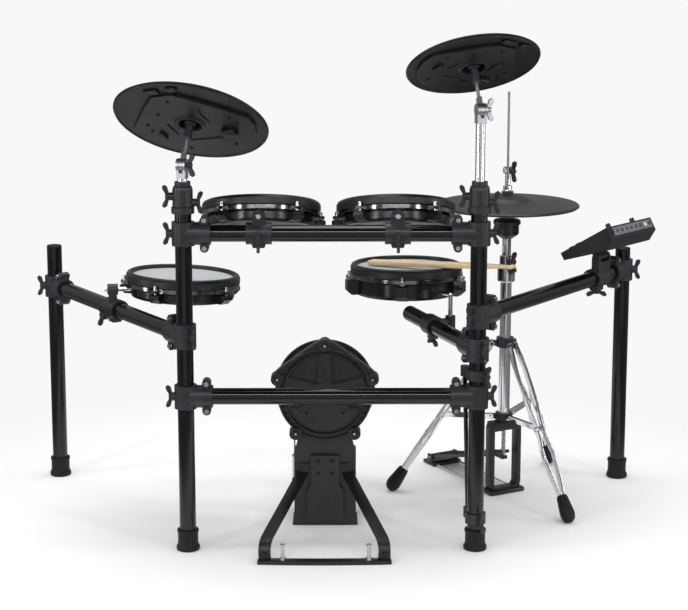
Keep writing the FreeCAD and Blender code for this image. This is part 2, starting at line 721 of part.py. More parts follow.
def drum(name, depth, place, first_lug, mount):
    """A drum pad: shell, rubber rim, head and chrome hardware; mount lists the pieces of its mounting rod."""
    outer, bearing = "kit.shell_diameter / 2", "kit.bearing_diameter / 2"
    step = "(%s - kit.rim_height - kit.hoop_height - 3)" % depth
    edge = "(%s - kit.rim_lip - kit.head_thickness)" % depth
    under_rim = "(%s - kit.rim_height)" % depth
    shell = turned(name + "_cup", [
        ("0", "0"), (outer + " - 8", "0"), (outer + " - 2", "2"), (outer, "8"), (outer, step + " - 1.5"),
        (outer + " - 1.5", step), (bearing, step), (bearing, edge + " - 2"), (bearing + " - 1", edge),
        (INSIDE_R, edge), (INSIDE_R, "kit.shell_wall"), ("0", "kit.shell_wall")])
    lug = prism(name + "_lug", [
        (bearing, "3"), ("kit.lug_reach - 12", "3"), ("kit.lug_reach", "14"),
        ("kit.lug_reach", step + " - 3"),
        ("kit.lug_reach - 3", step), (bearing, step)], "kit.lug_width",
        at(0, named("lug_width") / 2, 0, (1, 0, 0), 90))
    turns = around(LUGS, first_lug)
    lugs = [copy_of("%s_lug_%d" % (name, index), lug, turn * lug.Placement)
            for index, turn in enumerate(turns)]
    depth_of_thread = 15.0
    hole = value(step) - depth_of_thread - 1
    radius = named("rod_circle")
    holes = [cylinder("%s_lug_hole_%d" % (name, index), "kit.rod_diameter / 2 + kit.seat_gap",
                      depth_of_thread + 4,
                      turn * at(radius, 0, hole)) for index, turn in enumerate(turns)]
    moulded = cut(name + "_moulding", fuse(name + "_body", [shell] + lugs), holes)
    sensor_height = value(edge) - 24
    sensor_bar = doc.addObject("Part::Common", name + "_sensor_bar")
    sensor_bar.Base = block(name + "_sensor_strip", "kit.bearing_diameter", 42, 4, at(z=sensor_height))
    sensor_bar.Tool = cylinder(name + "_sensor_round", INSIDE_R, 4, at(z=sensor_height))
    foam = cone(name + "_foam_cone", 15, 5, 19.5, at(z=sensor_height + 4))
    node(name + "_shell", [moulded, sensor_bar, foam], place)

    rim_in, rim_out = "(kit.rim_diameter / 2 - kit.rim_width)", "kit.rim_diameter / 2"
    rim = turned(name + "_rim_ring", [
        (rim_in, under_rim), (rim_out + " - 2", under_rim), (rim_out, under_rim + " + 3"),
        (rim_out, depth + " - 8"),
        (rim_out + " - 3", depth + " - 2.5"), (rim_out + " - 8", depth), (rim_in + " + 4", depth),
        (rim_in + " + 1", depth + " - 2"), (rim_in, depth + " - 5")])
    node(name + "_rim", [rim], place)
    node(name + "_head", [cylinder(name + "_skin", rim_in + " - 0.3", "kit.head_thickness",
                                   at(z=value(edge)))], place)

    hoop_low = "(%s - kit.hoop_height)" % under_rim
    hoop = turned(name + "_hoop_ring", [
        (rim_in + " + 0.5", hoop_low), (rim_in + " + 2 * kit.hoop_wall", hoop_low),
        (rim_in + " + 2 * kit.hoop_wall", under_rim), (rim_in + " + 0.5", under_rim)])
    ear_length = radius + 7 - (value(rim_in) + named("hoop_wall"))
    ear_centre = radius + 7 - ear_length / 2
    ears = [block("%s_hoop_ear_%d" % (name, index), ear_length, 16, "kit.hoop_height - 2",
                  turn * at(ear_centre, 0, value(hoop_low))) for index, turn in enumerate(turns)]
    ear_holes = [cylinder("%s_ear_hole_%d" % (name, index), "kit.rod_diameter / 2 + kit.seat_gap",
                          "kit.hoop_height + 2",
                          turn * at(radius, 0, value(hoop_low) - 1)) for index, turn in enumerate(turns)]
    chrome = [cut(name + "_hoop", fuse(name + "_hoop_solid", [hoop] + ears), ear_holes)]
    ear_top = value(hoop_low) + named("hoop_height") - 2
    for index, turn in enumerate(turns):
        rod = cylinder("%s_rod_%d" % (name, index), "kit.rod_diameter / 2", ear_top - hole - 1,
                       turn * at(radius, 0, hole + 1))
        washer = cylinder("%s_rod_washer_%d" % (name, index), "kit.rod_diameter / 2 + 2", 1.6,
                          turn * at(radius, 0, ear_top))
        head = cylinder("%s_rod_head_%d" % (name, index), "kit.rod_diameter / 2 + 0.5", 9,
                        turn * at(radius, 0, ear_top + 1.6))
        chrome.append(fuse("%s_tension_rod_%d" % (name, index), [rod, washer, head]))
    to_local = place.inverse()
    for index, piece in enumerate(mount):
        piece.Placement = to_local * piece.Placement
    stop = cylinder(name + "_rod_stop", outer + " + 0.1", "%s + 20" % depth, at(z=-10))
    chrome.append(cut(name + "_mount_rod", fuse(name + "_mount_bar", mount)
                      if len(mount) > 1 else mount[0], [stop]))
    node(name + "_hardware", chrome, place)


def drum_place(x, y, z, depth, roll, pitch):
    """Where a drum stands when its rim is centred on a point, rolled and pitched to the drummer."""
    turn = Rotation(Vector(1, 0, 0), -pitch).multiply(Rotation(Vector(0, 1, 0), roll))
    return Placement(Vector(x, y, z), turn) * at(z=-depth)


ROD_R = "kit.mount_rod_diameter / 2"
TOM_DEPTH = named("tom_depth")
NEAR = -90.0
for side in sides:
    x = named(side + "_tom_x")
    place = drum_place(x, named("rack_tom_y"), named("rack_tom_z"), TOM_DEPTH, 0, named("rack_tom_tilt"))
    rod = bar(side + "_tom_rod", (x, -24, named("tom_mount_height")), (x, 60, named("tom_mount_height")),
              ROD_R)
    drum(side + "_tom", "kit.tom_depth", place, NEAR + 36, [rod])

place = drum_place(FLOOR_TOM.x, FLOOR_TOM.y, FLOOR_TOM.z, TOM_DEPTH, named("floor_tom_roll"),
                   named("floor_tom_pitch"))
rod_height = named("floor_rod_height")
inward = direction(floor_rod_angle)
rod_start = Vector(FLOOR_CLAMP.x, FLOOR_CLAMP.y, rod_height) - inward * 24
drum("floor_tom", "kit.tom_depth", place, NEAR - 22,
     [bar("floor_tom_rod", rod_start, Vector(FLOOR_TOM.x, FLOOR_TOM.y, rod_height) - inward * 60, ROD_R)])

SNARE = Vector(named("snare_x"), named("snare_y"), named("snare_z"))
SNARE_PLACE = drum_place(SNARE.x, SNARE.y, SNARE.z, named("snare_depth"), 0, named("snare_pitch"))
elbow = Vector(SNARE_ROD.x, SNARE_ROD.y, named("snare_rod_height"))
inward = (Vector(SNARE.x, SNARE.y, elbow.z) - elbow).normalize()
drum("snare", "kit.snare_depth", SNARE_PLACE, NEAR - 6, [
    bar("snare_rod_upright", elbow - Vector(0, 0, elbow.z - snare_root.z + 34), elbow, ROD_R),
    ball("snare_rod_elbow", ROD_R, at(elbow.x, elbow.y, elbow.z)),
    bar("snare_rod_arm", elbow, elbow + inward * 80, ROD_R)])


# A pair of drumsticks, butt ends on the snare head, lying over its rim

def rim_level(x, y):
    return SNARE.z - (y - SNARE.y) * math.tan(math.radians(named("snare_pitch")))


STICK_R = named("stick_diameter") / 2
stick_along = direction(named("stick_angle"))
stick_across = Vector(-stick_along.y, stick_along.x, 0)
stick_profile = [
    ("0", "0"), ("kit.stick_diameter / 2 - 2", "0"), ("kit.stick_diameter / 2", "3"),
    ("kit.stick_diameter / 2", "kit.stick_length * 0.68"),
    ("kit.stick_diameter / 2 - 1.4", "kit.stick_length * 0.82"),
    ("kit.stick_diameter * 0.24", "kit.stick_length - 15"),
    ("kit.stick_diameter * 0.34", "kit.stick_length - 10"),
    ("kit.stick_diameter * 0.36", "kit.stick_length - 6"),
    ("kit.stick_diameter * 0.26", "kit.stick_length - 1"),
    ("0", "kit.stick_length")]
sticks = []
rim_top_radius = named("rim_diameter") / 2 - named("rim_width") / 2
for index, shift in enumerate((-8.5, 8.5)):
    butt = SNARE - stick_along * 84 + stick_across * (shift - 34)
    flat = Vector(butt.x - SNARE.x, butt.y - SNARE.y, 0)
    reach = -flat.dot(stick_along) + math.sqrt(rim_top_radius ** 2 - flat.dot(stick_across) ** 2)
    over = butt + stick_along * reach
    lift = STICK_R + 0.8
    butt.z = rim_level(butt.x, butt.y) - named("rim_lip") + lift
    over.z = rim_level(over.x, over.y) + lift
    sticks.append(turned("drumstick_%d" % index, stick_profile, facing(butt, over - butt)))
node("drumsticks", sticks)


# Cymbal pads; their own origin lies in the plane of the edge

PIVOT_RISE = named("pad_rise") + 3.0
SEAT_R = 14.0


def cymbal_pad(name, diameter, plate_turn=None):
    """A rubber cymbal pad with its bell, a spherical seat and a moulded back plate for the sensor."""
    edge = diameter + " / 2"
    top = "kit.pad_rise + kit.bell_rise + 8"
    bell = "kit.bell_radius"
    pad = turned(name + "_disc", [
        ("kit.pad_hole / 2", "kit.pad_rise - 4"), ("25", "kit.pad_rise - 4"), ("28", "kit.pad_rise + 6"),
        (bell + " * 0.72", "kit.pad_rise + 3"), (bell, "kit.pad_rise - 3"), (edge + " - 12", "0"),
        (edge + " - 3", "0"),
        (edge, "kit.pad_edge * 0.35"), (edge, "kit.pad_edge * 0.65"), (edge + " - 3", "kit.pad_edge"),
        (edge + " - 10", "kit.pad_edge + 1"), (bell + " + 4", "kit.pad_rise + 6"), (bell, "kit.pad_rise + 8"),
        (bell + " * 0.82", "kit.pad_rise + kit.bell_rise"), (bell + " * 0.6", top + " - 3"),
        (bell + " * 0.38", top),
        ("kit.pad_hole / 2", top)])
    seat = ball(name + "_seat", SEAT_R + 0.3, at(z=PIVOT_RISE))
    if plate_turn is None:
        return cut(name + "_body", pad, [seat])
    arc = [(0.85 * math.cos(math.radians(a)), 0.85 * math.sin(math.radians(a))) for a in range(0, 181, 15)]
    corners = arc + [(-0.42, -0.46), (-0.15, -0.72), (0.15, -0.72), (0.42, -0.46)]
    outline = [("%.4f * (%s)" % (x, edge), "%.4f * (%s)" % (y, edge)) for x, y in corners]
    plate = prism(name + "_back_plate", outline, "kit.back_plate_thickness",
                  at(z=-named("back_plate_low"), angle=plate_turn))
    opening = cylinder(name + "_plate_opening", "kit.back_plate_hole / 2", 60, at(z=-40))
    plate_ring = cut(name + "_plate_ring", plate, [opening])
    return cut(name + "_body", fuse(name + "_solid", [pad, plate_ring]), [seat])


def cymbal(name, post_x, tilter_height, diameter, tilt, turn, plate_turn):
    """A cymbal on the top of a front post: sliding pole with clevis, tilter and rocking pad."""
    level = named(tilter_height)
    hub = at(post_x, 0, level, (0, 0, 1), turn)
    pole = tube(name + "_tube", (post_x, 0, named("front_post_top") - named("pole_insert")),
                (post_x, 0, level - 30),
                "kit.pole_diameter", "kit.pole_wall")
    slot = "kit.tilter_thickness / 2 + kit.tilter_gap"
    width = "2 * (%s) + 12" % slot
    neck = block(name + "_neck", width, 21, 30, at(z=-30))
    cheeks = cylinder(name + "_cheeks", "kit.tilter_radius", width,
                      facing((-value(width) / 2, 0, 0), (1, 0, 0)))
    gap = block(name + "_slot", "2 * (%s)" % slot, 60, 60, at(z=-named("tilter_radius") - 2.5))
    pin_hole = cylinder(name + "_pin_hole", "kit.stem_diameter / 2 + kit.seat_gap", 60,
                        facing((-30, 0, 0), (1, 0, 0)))
    clevis = cut(name + "_clevis", fuse(name + "_clevis_solid", [neck, cheeks]), [gap, pin_hole])
    clevis.Placement = hub
    grip = value(width) + 3
    pin = wing_bolt(name + "_pin", grip, hub * facing((-value(width) / 2, 0, 0), (1, 0, 0)))
    node(name + "_pole", [pole, clevis, pin])

    lean = hub * at(axis=(1, 0, 0), angle=-tilt)
    tongue = cylinder(name + "_tongue_disc", "kit.tilter_radius - 0.6", "kit.tilter_thickness",
                      facing((-named("tilter_thickness") / 2, 0, 0), (1, 0, 0)))
    arm = block(name + "_tongue_arm", "kit.tilter_thickness", 15, 30, at())
    reach = named("stem_reach")
    top = reach - PIVOT_RISE + value("kit.pad_rise + kit.bell_rise + 8")
    stem = cylinder(name + "_stem", "kit.stem_diameter / 2", top + 30, at())
    swing_hole = cylinder(name + "_swing_hole", "kit.stem_diameter / 2 + kit.turn_gap", 60,
                          facing((-30, 0, 0), (1, 0, 0)))
    tilter = cut(name + "_tongue", fuse(name + "_tongue_solid", [tongue, arm, stem]), [swing_hole])
    bore = "kit.stem_diameter / 2"
    sleeve = turned(name + "_sleeve", [
        (bore, reach - 58), ("8", reach - 58), ("9", reach - 54), ("9", reach - 20), ("13", reach - 17),
        ("13", reach - 13.5), (bore, reach - 13.5)])
    dome = cut(name + "_dome", ball(name + "_dome_ball", SEAT_R, at(z=reach)),
               [cylinder(name + "_dome_bore", bore, 60, at(z=reach - 30)),
                block(name + "_dome_trim", 60, 60, 40, at(z=reach - 49.0)),
                block(name + "_dome_crown", 60, 60, 40, at(z=reach + 8.5))])
    felt = turned(name + "_felt", [(bore, top + 2.2), ("12", top + 2.2), ("14", top + 4), ("14", top + 8),
                                   ("12", top + 10), (bore, top + 10)])
    nut = turned(name + "_nut_hub", [(bore, top + 10), ("8", top + 10), ("6.5", top + 20), (bore, top + 20)])
    ears = [prism("%s_nut_ear_%d" % (name, index), [("5", "0"), ("17", "7"), ("19", "14"), ("14", "14"),
                                                    ("5", "8")], 4,
                  at(0, 2, top + 11.5, (1, 0, 0), 90) if index == 0
                  else at(0, 0, 0, (0, 0, 1), 180) * at(0, 2, top + 11.5, (1, 0, 0), 90))
                  for index in range(2)]
    ear_bore = cylinder(name + "_nut_bore", bore, 40, at(z=top + 5))
    wing_nut = cut(name + "_wing_nut", fuse(name + "_nut_solid", [nut] + ears), [ear_bore])
    node(name + "_tilter", [tilter, sleeve, dome, felt, wing_nut], lean)
    node(name + "_pad", [cymbal_pad(name + "_rubber", diameter, plate_turn)], lean * at(z=reach - PIVOT_RISE))


cymbal("ride", -POST_X, "ride_tilter_height", "kit.ride_diameter", named("ride_tilt"), named("ride_turn"),
       named("ride_plate_turn"))
cymbal("crash", POST_X, "crash_tilter_height", "kit.crash_diameter", named("crash_tilt"), named("crash_turn"),
       named("crash_plate_turn"))


# Hi-hat stand, built about its own axis with the footboard along +Y

HIHAT = at(named("hihat_x"), named("hihat_y"), 0, (0, 0, 1), named("hihat_turn"))
LOWER_R, UPPER_R = "kit.lower_tube_diameter / 2", "kit.pole_diameter / 2"
PULL_R = "kit.pull_rod_diameter / 2"
PULL_BORE = PULL_R + " + kit.turn_gap"
cap_low = value("kit.frame_top - kit.frame_cap")
socket = named("frame_top") - 14
lower_top, upper_top = named("lower_tube_top"), named("upper_tube_top")
lower_tube = tube("hihat_lower_tube", (0, 0, socket), (0, 0, lower_top), "kit.lower_tube_diameter",
                  "kit.stand_tube_wall")
upper_tube = tube("hihat_upper_tube", (0, 0, lower_top - 90), (0, 0, upper_top), "kit.pole_diameter",
                  "kit.stand_tube_wall")
height_clamp = turned("hihat_height_clamp", [
    (LOWER_R, "kit.lower_tube_top - 32"), (LOWER_R + " + 6", "kit.lower_tube_top - 32"),
    (LOWER_R + " + 8", "kit.lower_tube_top - 29"), (LOWER_R + " + 8", "kit.lower_tube_top + 4"),
    (UPPER_R + " + 6", "kit.lower_tube_top + 12"), (UPPER_R + " + 6", "kit.lower_tube_top + 32"),
    (UPPER_R + " + 4", "kit.lower_tube_top + 34"), (UPPER_R, "kit.lower_tube_top + 34"),
    (UPPER_R, "kit.lower_tube_top"), (LOWER_R, "kit.lower_tube_top")])
clamp_spot = facing((0, -value(UPPER_R) - 6, lower_top + 22), (0, -1, 0))
clamp_bolt = wing_bolt("hihat_height_bolt", 8, clamp_spot * at(angle=90))
node("hihat_tubes", [lower_tube, upper_tube, height_clamp, clamp_bolt], HIHAT)

top = upper_top + named("controller_height")
controller = turned("hihat_sensor_case", [
    (PULL_BORE, upper_top), ("kit.pole_diameter / 2 + 3", upper_top), ("26", upper_top + 8),
    ("30", upper_top + 12),
    ("30", upper_top + 34), ("34", upper_top + 36), ("34", top - 6), ("31", top - 3), ("20", top - 2),
    ("16", top), (PULL_BORE, top)])
node("hihat_controller", [controller], HIHAT)

post_x = value("kit.frame_width / 2 - kit.frame_post / 2")
frame = [
    cut("hihat_cap", block("hihat_cap_block", "kit.frame_width", "kit.frame_depth + 8", "kit.frame_cap",
                           at(z=cap_low)),
        [cylinder("hihat_cap_socket", LOWER_R, 20, at(z=socket)),
         cylinder("hihat_cap_bore", PULL_BORE, 60, at(z=cap_low - 5))]),
    block("hihat_sole", "kit.frame_width + 14", "kit.frame_depth + 26", "kit.frame_sole")]
for index, sign in enumerate((-1, 1)):
    frame.append(block("hihat_side_post_%d" % index, "kit.frame_post", "kit.frame_depth",
                       "kit.frame_top - kit.frame_cap - kit.frame_sole",
                       at(sign * post_x, 0, named("frame_sole"))))
heel_y, heel_z = named("heel_distance"), named("heel_height")
heel = fuse("hihat_heel_solid", [block("hihat_heel_plate", 88, 54, 10, at(0, heel_y + 4, 0))] + [
    block("hihat_heel_ear_%d" % index, 6, 22, heel_z + 8, at(sign * 40, heel_y, 0))
    for index, sign in enumerate((-1, 1))])
heel_pin = bar("hihat_heel_pin", (-43, heel_y, heel_z), (43, heel_y, heel_z), 3)
frame.append(cut("hihat_heel", heel, [bar("hihat_heel_hole", (-50, heel_y, heel_z), (50, heel_y, heel_z),
                                          3)]))
frame.append(heel_pin)
wire_start = value("kit.frame_depth / 2 + 13")
for index, sign in enumerate((-1, 1)):
    frame.append(bar("hihat_wire_%d" % index, (sign * 34, wire_start, 6), (sign * 34, heel_y - 23, 6), 2.5))
joint_r, joint_z = named("brace_pivot_radius"), named("brace_pivot_height")
SPOKES = [at(angle=angle) for angle in (-90, 30, 150)]


def spoked_ring(name, low, high, level, reach, bore, tongue):
    """A ring on the lower tube with three tongues, each carrying a pivot pin along the tangent."""
    ring = cylinder(name + "_ring", LOWER_R + " + 8", high - low, at(z=low))
    solids = [ring]
    holes = [cylinder(name + "_bore", bore, high - low + 2, at(z=low - 1))]
    pins = []
    inner = value(LOWER_R) + 4
    for index, spoke in enumerate(SPOKES):
        solids.append(block("%s_tongue_%d" % (name, index), reach - inner + 6, tongue, 14,
                            spoke * at((inner + reach + 6) / 2, 0, level - 7)))
        holes.append(cylinder("%s_hole_%d" % (name, index), 3, 40,
                              spoke * facing((reach, -20, level), (0, 1, 0))))
        pins.append(cylinder("%s_pin_%d" % (name, index), 3, 28,
                             spoke * facing((reach, -14, level), (0, 1, 0))))
    return [cut(name, fuse(name + "_solid", solids), holes)] + pins


frame_top = named("frame_top")
frame.extend(spoked_ring("hihat_brace_ring", frame_top, frame_top + 20, joint_z, joint_r, LOWER_R, 6.0))
node("hihat_base_frame", frame, HIHAT)

pivot_r, pivot_z = named("collar_pivot_radius"), named("collar_pivot_height")
node("hihat_collar", spoked_ring("hihat_slide_collar", pivot_z - 9, pivot_z + 15, pivot_z, pivot_r,
                                 LOWER_R + " + kit.turn_gap", 9.0), HIHAT)

foot_r, boot_r = named("leg_foot_radius"), named("boot_radius")
knee_share = named("brace_joint_share")
leg_top, leg_end = Vector(pivot_r, 0, pivot_z), Vector(foot_r, 0, boot_r)
leg_along = (leg_end - leg_top).normalize()
knee = leg_top + (leg_end - leg_top) * knee_share
for index, spoke in enumerate(SPOKES):
    name = "hihat_leg_%d" % (index + 1)
    spread = named("leg_rod_spread")
    leg = []
    rod_tools = []
    for part, sign in enumerate((-1, 1)):
        offset = Vector(0, sign * spread, 0)
        rod = bar("%s_rod_%d" % (name, part), leg_top + offset, leg_end + offset, "kit.leg_rod_diameter / 2")
        eye = cylinder("%s_eye_%d" % (name, part), 7, 7,
                       facing(leg_top + offset - Vector(0, 3.5, 0), (0, 1, 0)))
        eye_hole = cylinder("%s_eye_hole_%d" % (name, part), 3.3, 20,
                            facing(leg_top + offset - Vector(0, 10, 0), (0, 1, 0)))
        rivet = cylinder("%s_rivet_%d" % (name, part), 8, 3,
                         facing(knee + Vector(0, sign * (spread + 4) - 0.5 * sign - (0
                             if sign > 0 else 2.5), 0), (0, 1, 0)))
        leg.append(cut("%s_strut_%d" % (name, part), fuse("%s_strut_solid_%d" % (name, part), [rod, eye,
            rivet]), [eye_hole]))
        rod_tools.append(bar("%s_rod_seat_%d" % (name, part), leg_top + offset, leg_end + offset,
                             "kit.leg_rod_diameter / 2"))
    boot = turned(name + "_boot_rubber", [
        ("0", "0"), ("kit.boot_radius * 0.7", "3"), ("kit.boot_radius", "12"),
        ("kit.boot_radius", "kit.boot_length - kit.boot_radius"),
        ("kit.boot_radius * 0.86", "kit.boot_length - kit.boot_radius * 0.49"),
        ("kit.boot_radius * 0.6", "kit.boot_length - kit.boot_radius * 0.2"), ("0", "kit.boot_length")],
        facing(leg_end - leg_along * (named("boot_length") - boot_r), leg_along))
    toe = ball(name + "_boot_toe", "kit.boot_radius", at(leg_end.x, 0, leg_end.z))
    leg.append(cut(name + "_boot", fuse(name + "_boot_solid", [boot, toe]), rod_tools))
    node(name, leg, HIHAT * spoke)
    brace_start, brace_end = Vector(joint_r, 0, joint_z), knee
    name = "hihat_brace_%d" % (index + 1)
    straps = []
    for part, sign in enumerate((-1, 1)):
        offset = Vector(0, sign * 4.9, 0)
        strap = flat_bar("%s_strap_%d" % (name, part), brace_start + offset,
                         brace_end + offset - Vector(0, sign * 1.6, 0),
                         12, 2.6, (0, 0, 1))
        eye = cylinder("%s_eye_%d" % (name, part), 7, 2.6,
                       facing(brace_start + offset - Vector(0, 1.3, 0), (0, 1, 0)))
        hole = cylinder("%s_eye_hole_%d" % (name, part), 3.3, 12,
                        facing(brace_start + offset - Vector(0, 6, 0), (0, 1, 0)))
        straps.append(cut("%s_side_%d" % (name, part), fuse("%s_side_solid_%d" % (name, part), [strap,
            eye]), [hole]))
    node(name, straps, HIHAT * spoke)

board_start = Vector(0, heel_y, heel_z)
board_end = Vector(0, 30, named("toe_height"))
board_along = (board_end - board_start).normalize()
board = flat_bar("hihat_board", board_start + board_along * 16, board_end, 78, "kit.footboard_thickness",
                 (1, 0, 0))
barrel = bar("hihat_heel_barrel", (-36, heel_y, heel_z), (36, heel_y, heel_z), 8)
strap = flat_bar("hihat_board_strap", board_start, board_start + board_along * 40, 60, 6, (1, 0, 0))
toe_lug = block("hihat_toe_lug", 16, 44, 8, at(0, 15, named("toe_height") - 6))
board_solid = fuse("hihat_board_solid", [board, barrel, strap, toe_lug])
node("hihat_footboard", [cut("hihat_board_body", board_solid, [
    bar("hihat_barrel_bore", (-60, heel_y, heel_z), (60, heel_y, heel_z), 3.3)])], HIHAT)

pad_level = named("hihat_pad_height")
pad_top = pad_level + value("kit.pad_rise + kit.bell_rise + 8")
rod_low = 160.0
pull_rod = cylinder("hihat_rod_bar", PULL_R, named("pull_rod_top") - rod_low, at(z=rod_low))
links = []
link_tall = 13.0
link_count = 6
chain_low = named("toe_height") + 2.85
link_pitch = (rod_low - link_tall - chain_low) / (link_count - 1)
for index in range(link_count):
    level = chain_low + link_pitch * index
    links.append(block("hihat_chain_link_%d" % index, 9 if index % 2 else 5, 5 if index % 2 else 9,
                       link_tall, at(z=level)))
chain = fuse("hihat_chain", links)
clutch = turned("hihat_clutch", [
    (PULL_R, pad_top + 8), ("9", pad_top + 8), ("11", pad_top + 11), ("11", pad_top + 20),
    ("7", pad_top + 22), ("7", pad_top + 51), ("12", pad_top + 53), ("12", pad_top + 65),
    ("10", pad_top + 68), (PULL_R, pad_top + 68)])
felt = turned("hihat_felt", [(PULL_R, pad_top), ("14", pad_top), ("15", pad_top + 2), ("15", pad_top + 6),
                             ("14", pad_top + 8), (PULL_R, pad_top + 8)])
cup_low = pad_level + named("pad_rise") - 12
under = turned("hihat_clutch_cup", [
    (PULL_R, cup_low), ("10", cup_low), ("12", cup_low + 3), ("12", cup_low + 5.5), ("7.5", cup_low + 6),
    ("7.5", pad_top), (PULL_R, pad_top)])
clutch_wing = wing_bolt("hihat_clutch_bolt", 6, facing((0, -12, pad_top + 59), (0, -1, 0)) * at(angle=90))
node("hihat_pull_rod", [pull_rod, chain, clutch, felt, under, clutch_wing], HIHAT)
node("hihat_pad", [cymbal_pad("hihat_rubber", "kit.hihat_diameter")], HIHAT * at(z=pad_level))


# Kick pad on its tower, facing the drummer

KICK_X, KICK_Y, KICK_Z = named("kick_x"), named("kick_back_y"), named("kick_centre_height")
KICK = facing((KICK_X, KICK_Y, KICK_Z), (0, 1, 0))
RADIUS = "kit.kick_radius"
cup = turned("kick_cup", [
    ("0", "9"), (RADIUS + " - 17", "9"), (RADIUS + " - 16", "0"), (RADIUS + " - 13.5", "0"),
    (RADIUS + " - 13", "6"),
    (RADIUS + " - 4.5", "6"), (RADIUS + " - 4", "0"), (RADIUS + " - 1.5", "0"), (RADIUS, "3"),
    (RADIUS, "kit.kick_depth - 8"), (RADIUS + " - 4", "kit.kick_depth - 8"), (RADIUS + " - 4", "17"),
    (RADIUS + " - 10", "13"), ("0", "13")], KICK)
back = [cylinder("kick_hub", 31, 11, KICK * at(z=-1)), cylinder("kick_hub_cap", 17, 3, KICK * at(z=-3))]
for index, angle in enumerate((-90, -18, 198)):
    back.append(prism("kick_spoke_%d" % index, [("0", "-20"), (RADIUS + " - 16.5", "-12"),
                                                (RADIUS + " - 16.5", "12"), ("0", "20")],
                      9, KICK * at(z=1) * at(angle=angle)))
back.append(prism("kick_back_plate", [
    ("-44", "18"), ("44", "18"), ("58", "34"), ("80", "34"), ("70", "54"), ("50", "72"), ("26", "84"),
    ("0", "88"),
    ("-26", "84"), ("-50", "72"), ("-70", "54"), ("-80", "34"), ("-58", "34")], 8, KICK * at(z=2)))
kick_turns = around(LUGS, NEAR)
lug_radius = named("kick_rod_circle")
lugs = [cylinder("kick_lug_%d" % index, "kit.kick_lug_radius", 40, KICK * turn * at(lug_radius - 4, 0, 4))
        for index, turn in enumerate(kick_turns)]
cavity = cylinder("kick_cavity", RADIUS + " - 4.2", "kit.kick_depth", KICK * at(z=16.8))
lug_holes = [cylinder("kick_lug_hole_%d" % index, SCREW_HOLE, 60, KICK * turn * at(lug_radius, 0, -4))
             for index, turn in enumerate(kick_turns)]
neck_y = named("neck_y")
neck = prism("kick_neck", [
    ("-kit.neck_width / 2", "0"), ("kit.neck_width / 2", "0"),
    ("kit.neck_width / 2", "kit.kick_centre_height - 150"),
    ("kit.neck_width / 2 - 16", "kit.kick_centre_height - 88"),
    ("-kit.neck_width / 2 + 16", "kit.kick_centre_height - 88"),
    ("-kit.neck_width / 2", "kit.kick_centre_height - 150")], "kit.neck_thickness",
    Placement(Vector(KICK_X, neck_y + named("neck_thickness"), 0), Rotation(Vector(1, 0, 0), 90)))
base = block("kick_base_plate", "kit.kick_base_width", 70, "kit.kick_base_thickness",
             at(KICK_X, neck_y + 35, 0))
ribs = [block("kick_side_rib_%d" % index, 12, 34, 190, at(KICK_X + sign * (named("neck_width") / 2 - 6),
                                                          neck_y + 17, 0))
        for index, sign in enumerate((-1, 1))]
tower = cut("kick_tower_body", fuse("kick_tower_solid", [cup, neck, base] + back + ribs + lugs),
            [cavity] + lug_holes)
plate_y = neck_y - 12
plate = prism("kick_centre_plate", [
    ("-43.5", "14"), ("43.5", "14"), ("43.5", "88"), ("34", "103"), ("34", "177"), ("-34", "177"),
    ("-34", "103"),
    ("-43.5", "88")], 6, Placement(Vector(KICK_X, neck_y - 6, 0), Rotation(Vector(1, 0, 0), 90)))
spacer = block("kick_plate_spacer", 28, 6, 160, at(KICK_X, neck_y - 3, 14))
node("kick_tower", [tower, plate, spacer])
for index, (x, z) in enumerate(((-17.5, 133), (17.5, 133), (-17.5, 164), (17.5, 164))):
    rack_bolts.append(cone("kick_plate_screw_%d" % index, 5, 4, 3,
                           facing((KICK_X + x, plate_y, z), (0, -1, 0))))

depth = named("kick_depth")
hoop = turned("kick_hoop_ring", [
    (RADIUS + " + 0.3", depth - 16), (RADIUS + " + 7", depth - 16), (RADIUS + " + 7", depth - 2),
    (RADIUS + " - 8", depth - 2), (RADIUS + " - 8", depth - 6.5), (RADIUS + " + 0.3", depth - 6.5)], KICK)
hoop_ears = [cylinder("kick_hoop_ear_%d" % index, 8, 14, KICK * turn * at(lug_radius, 0, depth - 16))
             for index, turn in enumerate(kick_turns)]
clear = cylinder("kick_hoop_clear", RADIUS + " + 0.3", 9.5, KICK * at(z=depth - 16))
ear_holes = [cylinder("kick_ear_hole_%d" % index, SCREW_HOLE, 60, KICK * turn * at(lug_radius, 0, depth - 40))
             for index, turn in enumerate(kick_turns)]
skin = cylinder("kick_skin", RADIUS + " - 0.5", 1.5, KICK * at(z=depth - 8))
node("kick_head", [cut("kick_hoop", fuse("kick_hoop_solid", [hoop] + hoop_ears), [clear] + ear_holes), skin])
for index, turn in enumerate(kick_turns):
    rack_bolts.append(clamp_screw("kick_tension_rod_%d" % index, depth - 6,
                                  KICK * turn * at(lug_radius, 0, 4)))

